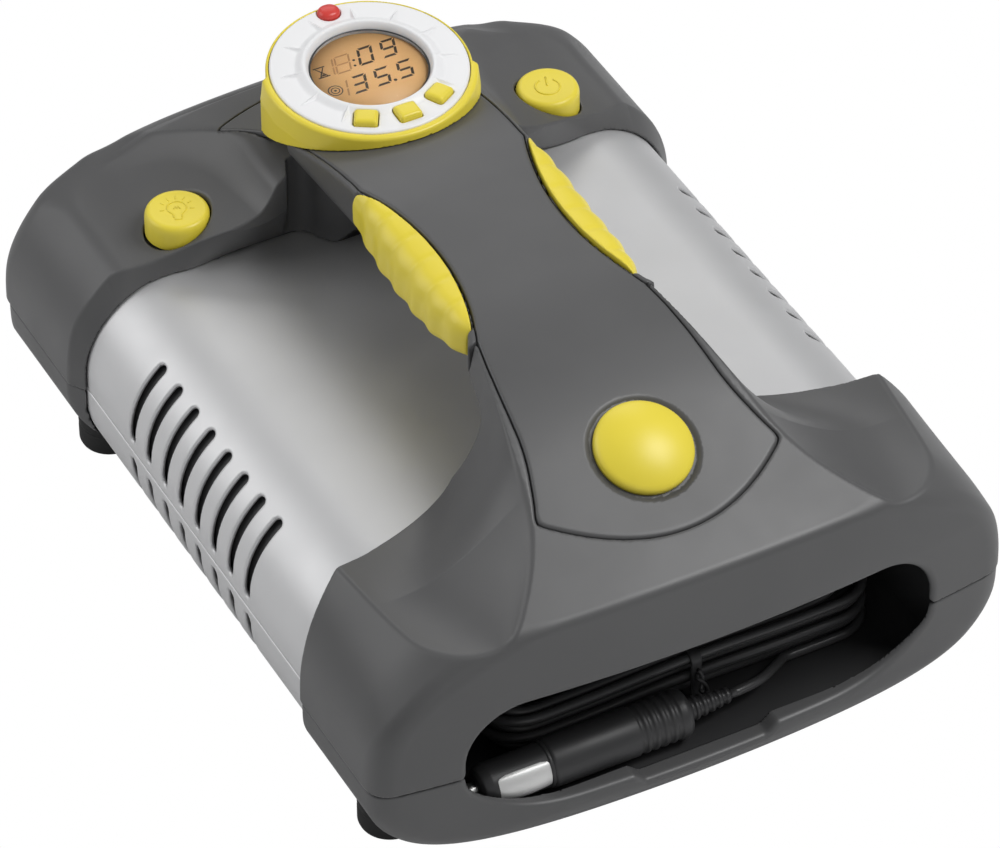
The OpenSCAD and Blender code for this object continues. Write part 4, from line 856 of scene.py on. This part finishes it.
FINE = 1.0  # grid step in mm
for name, field, lo, hi, node, slot in (
        ("front_housing_top", front_upper, (-144, -185, 63), (144, -56, 178), "front_housing_upper", "grey_plastic"),
        ("front_housing_base", front_lower, (-144, -185, 12), (144, -102, 68), "front_housing_lower", "grey_plastic"),
        ("rear_housing_top", rear_upper, (-144, 84, 63), (144, 185, 172), "rear_housing_upper", "grey_plastic"),
        ("rear_housing_base", rear_lower, (-144, 94, 12), (144, 185, 68), "rear_housing_lower", "grey_plastic"),
        ("body_shell_top", shell_half(1), (-138, -110, 64), (138, 103, 115), "body_shell_upper", "silver_paint"),
        ("body_shell_base", shell_half(-1), (-138, -110, 17), (138, 103, 68), "body_shell_lower", "silver_paint"),
        ("handle_bar", handle_frame, (-50, -62, 147), (50, 99, 182), "handle_frame", "grey_plastic")):
    carve(name, field, lo, hi, FINE, BY_SLOT[slot], [node], slot=slot)
carve("handle_panel", handle_cover, (-62, -162, 118), (62, 161, 182), FINE * 0.75, GREY, ["handle_cover"],
      slot="grey_plastic")


def vent_screen(x, y, z):
    """Dark lining close behind the vent slots."""
    return between(np.maximum(shell_section(x, z, -3.3), -shell_section(x, z, -5.0)), y, -93.5, 86.5)


carve("vent_screen", vent_screen, (-131, -95, 22), (131, 88, 110), 2 * FINE, BLACK, slot="black_plastic")
for side, name in ((-1, "left"), (1, "right")):
    lo, hi = sorted((side * 24, side * 48))
    carve("finger_grip_" + name, grip(side), (lo, -61, 150), (hi, 43, 182), FINE * 0.7, YELLOW,
          ["grip_" + name], slot="yellow_plastic")

# -------------------- emblem
on_ramp = at(0, EMBLEM_Y, EMBLEM_Z) @ Matrix.Rotation(TILT, 4, "X")
dome = [(r, DOME_TOP - DOME_R + math.sqrt(DOME_R**2 - r * r)) for r in (0, *np.linspace(1, 19.2, 14))]
dome += [(EMBLEM_R - 0.25, 1.3), (EMBLEM_R, 0.6), (EMBLEM_R, -1.4), (0, -1.4)]
lathe("emblem_dome", dome, on_ramp, YELLOW, 128, nodes=("emblem_cap",), slot="yellow_plastic")

# -------------------- gauge
dial = at(0, GAUGE_Y, FACE) @ Matrix.Rotation(LEAN, 4, "X")


def ring_wall(x, y, z):
    """Yellow ring: a thin rim, a wall that flares into a skirt at the front, and a step where that begins."""
    v = y - GAUGE_Y
    r = np.hypot(x, v)
    lean = math.tan(LEAN) * v
    front = ease((-1.6 - 0.351 * x - v) / 3 + 0.5)
    down = np.maximum(0, FACE + lean - 0.5 - z)
    flare = RING_R + front * (1.9 + 1.0 * clamp(down / 9))
    f = smax((r - flare) * 0.97, z - FACE - lean + 0.3, 1.6)
    f = smax(f, -np.maximum(r - BEZEL_R - GAP, FACE - 8 - z), 0.6)
    f = np.maximum(f, RING_BORE - r)
    return np.maximum(f, top_z(np.abs(x), y) + 0.3 - z)


carve("gauge_rim", ring_wall, (-47, 58, 140), (47, 152, 182), FINE * 0.7, YELLOW, ["gauge_ring"],
      slot="yellow_plastic")
# middle of each key and its turn in radians; middle of the reset button
WELLS = [(-16.2, 76.0, 0.53), (0.6, 71.9, 0.0), (17.3, 76.6, -0.53)]
RESET = (0.2, 141.6)


def bezel_field(x, y, z):
    """Silver bezel: a cone down to the display, ten raised ticks, and the wells of the keys."""
    v = y - GAUGE_Y
    r = np.hypot(x, v)
    w = z - FACE - math.tan(LEAN) * v
    cone = 0.1 + 1.8 * ease((31 - r) / 4.2) - 2.4 * clamp((26.4 - r) / 1.6) ** 1.6
    f = smax(w - cone, r - BEZEL_R, 1.2)
    f = smax(f, DISPLAY_R + 0.6 - r, 0.8)
    f = np.maximum(f, -5.4 - w)
    a = np.arctan2(v, x)
    for degrees in (*range(15, 226, 30), 315, 345):
        c = math.radians(degrees)
        along, across = v * math.sin(c) + x * math.cos(c), v * math.cos(c) - x * math.sin(c)
        t = clamp((along - 27.5) / 9.5)
        ridge = np.maximum(np.abs(across) * 1.2 + w - 1.9 * (1 - t) ** 0.75, np.maximum(26.5 - along, along - 37))
        f = smin(f, np.maximum(ridge * 0.7, -0.5 - w), 0.5)
    for bx, by, turn in WELLS:
        c, q = math.cos(turn), math.sin(turn)
        dx, dy = x - bx, y - by
        well = box2(dx * c - dy * q, dx * q + dy * c, KEY_HALF_X + 0.35, KEY_HALF_Y + 0.2, 1.4)
        f = smax(f, -np.maximum(well, -4 - w), 0.5)
    return smax(f, -np.maximum(np.hypot(x - RESET[0], y - RESET[1]) - 5.0, -4 - w), 0.5)


carve("gauge_dial", bezel_field, (-43, 62, 172), (43, 149, 184), FINE * 0.5, BEZEL, ["gauge_bezel"],
      slot="bezel_silver")
lathe("window_gasket", round_profile([(24.0, -4.6), (24.9, -4.6), (24.9, -1.4), (24.4, -1.0), (24.0, -1.4)], 0.15, 2),
      dial, BLACK, 96, slot="black_plastic")
lathe("window_glass", [(0, -2.3), (12, -2.3), (DISPLAY_R, -2.35), (DISPLAY_R, -2.9), (0, -2.9)], dial, GLASS, 96,
      nodes=("display_lens",), slot="amber_lens")
lathe("lcd_plate", [(0, -3.1), (DISPLAY_R, -3.1), (DISPLAY_R, -5.2), (0, -5.2)], dial, LCD, 96,
      nodes=("display_panel",), slot="display_amber")


def flat_shape(name, outlines, mat, lift=-3.06):
    """Thin printed shapes on the display."""
    verts, faces = [], []
    for o in outlines:
        faces.append(tuple(range(len(verts), len(verts) + len(o))))
        verts += [tuple((dial @ Vector((x, y - GAUGE_Y, lift))) * MM) for x, y in o]
    return dress(link(name, verts, faces, smooth=False), mat, slot="display_amber")


def segments(x, y, lit, w=6.9, h=10.3, t=1.25, slant=0.33):
    """Outlines of the lit bars of a seven-segment digit whose lower left corner is x, y."""
    m, g = h / 2, 0.16
    bars = {
        "a": [(g + t * 0.3, h), (w - g - t * 0.3, h), (w - g - t, h - t), (g + t, h - t)],
        "d": [(g + t, t), (w - g - t, t), (w - g - t * 0.3, 0), (g + t * 0.3, 0)],
        "g": [(g + t * 0.5, m), (g + t, m + t / 2), (w - g - t, m + t / 2), (w - g - t * 0.5, m),
              (w - g - t, m - t / 2), (g + t, m - t / 2)],
        "f": [(0, h - g - t * 0.3), (t, h - g - t), (t, m + g + t / 2), (t * 0.4, m + g), (0, m + g + t * 0.3)],
        "b": [(w, h - g - t * 0.3), (w, m + g + t * 0.3), (w - t * 0.4, m + g), (w - t, m + g + t / 2),
              (w - t, h - g - t)],
        "e": [(0, g + t * 0.3), (0, m - g - t * 0.3), (t * 0.4, m - g), (t, m - g - t / 2), (t, g + t)],
        "c": [(w, g + t * 0.3), (w - t, g + t), (w - t, m - g - t / 2), (w - t * 0.4, m - g),
              (w, m - g - t * 0.3)],
    }
    return [[(x + a + slant * b, y + b) for a, b in bars[k]] for k in lit]


def disc_outline(x, y, r, n=20):
    """Outline of a disc."""
    return [(x + r * math.cos(2 * math.pi * k / n), y + r * math.sin(2 * math.pi * k / n)) for k in range(n)]


def ring_outlines(x, y, r0, r1, n=24):
    """Outlines of the short pieces that make a ring."""
    p, q = disc_outline(x, y, r0, n), disc_outline(x, y, r1, n)
    return [[q[k], q[(k + 1) % n], p[(k + 1) % n], p[k]] for k in range(n)]


dots = [disc_outline(7.3, 95.4, 0.75), disc_outline(-3.4, 110.6, 0.6), disc_outline(-2.4, 113.8, 0.6)]
flat_shape("lcd_digits", segments(-1.9, 109.2, "abcdef") + segments(8.6, 109.2, "abcdfg")
           + segments(-12.0, 94.6, "abcdg") + segments(-1.6, 94.6, "acdfg") + segments(8.8, 94.6, "acdfg") + dots,
           SEGMENT)
flat_shape("lcd_ghosts", segments(-12.6, 108.6, "abcdefg", t=0.8) + segments(-20.0, 108.6, "bc", t=0.8)
           + segments(-20.6, 94.4, "bc", t=0.8), GHOST, -3.07)
hour = [[(-18.7, 115.9), (-18.2, 115.9), (-16.5, 113.4), (-17.1, 113.2)],
        [(-14.7, 115.9), (-15.2, 115.9), (-16.9, 113.4), (-16.4, 113.2)],
        [(-18.7, 110.6), (-18.1, 110.6), (-16.6, 113.1), (-17.1, 113.4)],
        [(-15.0, 110.6), (-15.6, 110.6), (-17.0, 113.1), (-16.5, 113.4)],
        [(-17.9, 110.9), (-15.7, 110.9), (-16.8, 112.3)]]
hour += [[(-19.3, 116.0), (-14.1, 116.0), (-14.1, 116.6), (-19.3, 116.6)],
         [(-19.5, 110.0), (-14.3, 110.0), (-14.3, 110.6), (-19.5, 110.6)]]
flat_shape("lcd_icons", [[(x - 0.8, y - 0.6) for x, y in o] for o in hour]
           + ring_outlines(-17.6, 100.2, 2.7, 3.2) + ring_outlines(-17.6, 100.2, 1.5, 1.95)
           + [disc_outline(-17.6, 100.2, 0.6)], SEGMENT)


def cushion(name, x, y, z, hx, hy, corner, tall, dome, turn, mat, **kw):
    """Small moulded key: rounded outline, soft edge, slightly domed top."""
    c, q = math.cos(turn), math.sin(turn)

    def field(px, py, pz):
        dx, dy = px - x, py - y
        a, b = dx * c - dy * q, dx * q + dy * c
        f = box2(a, b, hx, hy, corner)
        top = pz - z - tall + dome * ((a / hx) ** 2 + (b / hy) ** 2)
        return smax(smax(f, top, 1.8), z - 6.1 - pz, 0.4)

    r = max(hx, hy) * 1.5
    return carve(name, field, (x - r, y - r, z - 8.5), (x + r, y + r, z + tall + 1), FINE * 0.35, mat, **kw)


for (bx, by, turn), side in zip(WELLS, ("left", "middle", "right")):
    cushion("mode_key_" + side, bx, by, FACE - 1.7, KEY_HALF_X, KEY_HALF_Y, 1.3, 2.8, 0.25, turn, YELLOW,
            nodes=["mode_button_" + side], body=f"mode_button_{side}_body", slot="yellow_plastic")
cushion("reset_key", *RESET, FACE + 1.9, 4.8, 4.4, 4.3, 2.6, 0.9, 0.0, RED, nodes=["reset_button"],
        body="reset_button_body", slot="red_plastic")


# -------------------- round buttons with raised symbols
def stroke(name, pts, width, place, body):
    """Raised line of round section along points on a button."""
    tube(name, [tuple(place @ Vector((x, y, 0.0))) for x, y in pts], width, 6, YELLOW, body=body,
         slot="yellow_plastic")


cap = [(r, BUTTON_TOP - down) for r, down in ((0, 0.5), (6, 0.45), (9.6, 0.2), (11, 0), (12.0, 0.2), (12.9, 1.0),
                                              (13.4, 2.4), (CAP_R, 4))]
cap += [(CAP_R, CAP_LOW + 0.3), (CAP_R - 0.2, CAP_LOW), (0, CAP_LOW)]
for side, name in ((-1, "light"), (1, "power")):
    lathe(name + "_cap", round_profile(cap, 0.7, 3), at(side * BUTTON_X, BUTTON_Y, 0), YELLOW, 96,
          nodes=[name + "_button"], body=name + "_button_body", slot="yellow_plastic")
light_at, power_at = (at(side * BUTTON_X, BUTTON_Y, BUTTON_TOP - 0.45) @ Matrix.Rotation(math.radians(-20), 4, "Z")
                      for side in (-1, 1))
bulb = [(4.0 * math.sin(a), 1.2 + 4.0 * math.cos(a)) for a in np.linspace(-2.5, 2.5, 26)]
light_marks = [("bulb", 0.38, [(-1.7, -5.2), (-1.7, -3.2), *bulb, (1.7, -3.2), (1.7, -5.2)]),
               ("base", 0.38, [(-1.6, -6.2), (0, -6.5), (1.6, -6.2)]),
               ("wire", 0.3, [(-1.4, 0.4), (-0.6, 2.2), (0, 0.6), (0.6, 2.2), (1.4, 0.4)])]
light_marks += [(f"ray_{k}", 0.32, [(r * math.sin(a), 1.2 + r * math.cos(a)) for r in (5.4, 6.3, 7.2)])
                for k, a in enumerate(np.radians((-100, -62, -31, 0, 31, 62, 100)))]
for name, width, pts in light_marks:
    stroke("light_mark_" + name, pts, width, light_at, "light_button_body")
arc = [(5.2 * math.sin(a), 5.2 * math.cos(a)) for a in np.linspace(0.6, 5.68, 34)]
for name, pts in (("arc", arc), ("bar", [(0, 6.4), (0, 3.5), (0, 0.8)])):
    stroke("power_mark_" + name, pts, 0.45, power_at, "power_button_body")

# -------------------- feet, lamp
foot = [(0, 0.6), (3, 0.6), (3.4, 0), (5.6, 0), (6, 0.6), (8, 0.6), (8.4, 0), (11, 0), (12.3, 0.7), (FOOT_R, 2.4),
        (FOOT_R, 9), (12.4, 9.6), (12.4, 10.6), (FOOT_R, 11.2), (FOOT_R, FOOT_TOP), (0, FOOT_TOP)]
for k, (x, y) in enumerate((x, y) for y in (FOOT_FRONT, FOOT_REAR) for x in (-FOOT_X, FOOT_X)):
    lathe(f"foot_{k}", round_profile(foot, 0.4, 2), at(x, y, 0), RUBBER, 64, nodes=("feet",), slot="rubber")
behind = at(LAMP_X, 0, LAMP_Z) @ Matrix.Rotation(-math.pi / 2, 4, "X")
lathe("lamp_bowl", round_profile([(16.8, 180.6), (17, 179.8), (17, 165.2), (4, 165.2), (4, 167), (9, 168.4),
                                  (13.6, 173), (15.4, 178.6), (15.6, 180.6)], 0.5, 3), behind, STEEL, 96,
      nodes=("work_lamp",), slot="lamp_clear")
waves = [(r, 179.6 - 0.004 * r * r + 0.18 * math.cos(2.1 * r)) for r in np.linspace(0, 15.4, 44)]
lathe("lamp_cover", waves + [(15.4, 177.4), (0, 177.8)], behind, LAMP, 96, slot="lamp_clear")
lathe("lamp_chip", round_profile([(0, 169.4), (2.2, 169.2), (2.6, 168.6), (2.6, 166.2), (0, 166.2)], 0.3, 3), behind,
      NYLON, 32, slot="lamp_clear")

# -------------------- light, floor and background
def by_ray(tree, output, lit, seen):
    """Shows the camera one shader, and every other ray another."""
    path, mixer, end = (tree.nodes.new(kind) for kind in ("ShaderNodeLightPath", "ShaderNodeMixShader", output))
    tree.links.new(path.outputs["Is Camera Ray"], mixer.inputs["Fac"])
    tree.links.new(lit.outputs[0], mixer.inputs[1])
    tree.links.new(seen.outputs[0], mixer.inputs[2])
    tree.links.new(mixer.outputs[0], end.inputs["Surface"])


world = bpy.data.worlds.new("world")
scene.world = world
world.use_nodes = True
sky = world.node_tree
sky.nodes.clear()
studio, white = sky.nodes.new("ShaderNodeBackground"), sky.nodes.new("ShaderNodeBackground")
for shader, colour, strength in ((studio, (0.92, 0.93, 0.95, 1), 0.28), (white, (1, 1, 1, 1), 1.0)):
    shader.inputs["Color"].default_value, shader.inputs["Strength"].default_value = colour, strength
by_ray(sky, "ShaderNodeOutputWorld", studio, white)


def lamp(name, place, target, size, power):
    """Area light of that size and power, turned to the target."""
    data = bpy.data.lights.new(name, "AREA")
    data.shape, data.size, data.size_y, data.energy = "RECTANGLE", size[0], size[1], power
    obj = bpy.data.objects.new(name, data)
    scene.collection.objects.link(obj)
    obj.location = place
    obj.rotation_euler = (Vector(target) - Vector(place)).to_track_quat("-Z", "Y").to_euler()


lamp("key", (0.75, -0.55, 1.5), (0, 0, 0.1), (0.8, 0.8), 20)
lamp("left", (-1.2, 0.85, 0.95), (0, 0, 0.08), (1.2, 1.2), 9.5)
lamp("rear", (0.6, 1.5, 1.3), (0, 0, 0.1), (1.2, 0.9), 5)
lamp("front", (-0.6, -1.6, 0.5), (0, 0, 0.08), (0.9, 0.6), 1.2)

floor = link("floor", [(-3, -3, 0), (3, -3, 0), (3, 3, 0), (-3, 3, 0)], [(0, 1, 2, 3)], smooth=False)
floor_mat = bpy.data.materials.new("floor")
floor_mat.use_nodes = True
ground = floor_mat.node_tree
ground.nodes.clear()
glow, matte = ground.nodes.new("ShaderNodeEmission"), ground.nodes.new("ShaderNodeBsdfDiffuse")
matte.inputs["Color"].default_value = (0.8, 0.8, 0.8, 1)
by_ray(ground, "ShaderNodeOutputMaterial", matte, glow)
floor.data.materials.append(floor_mat)
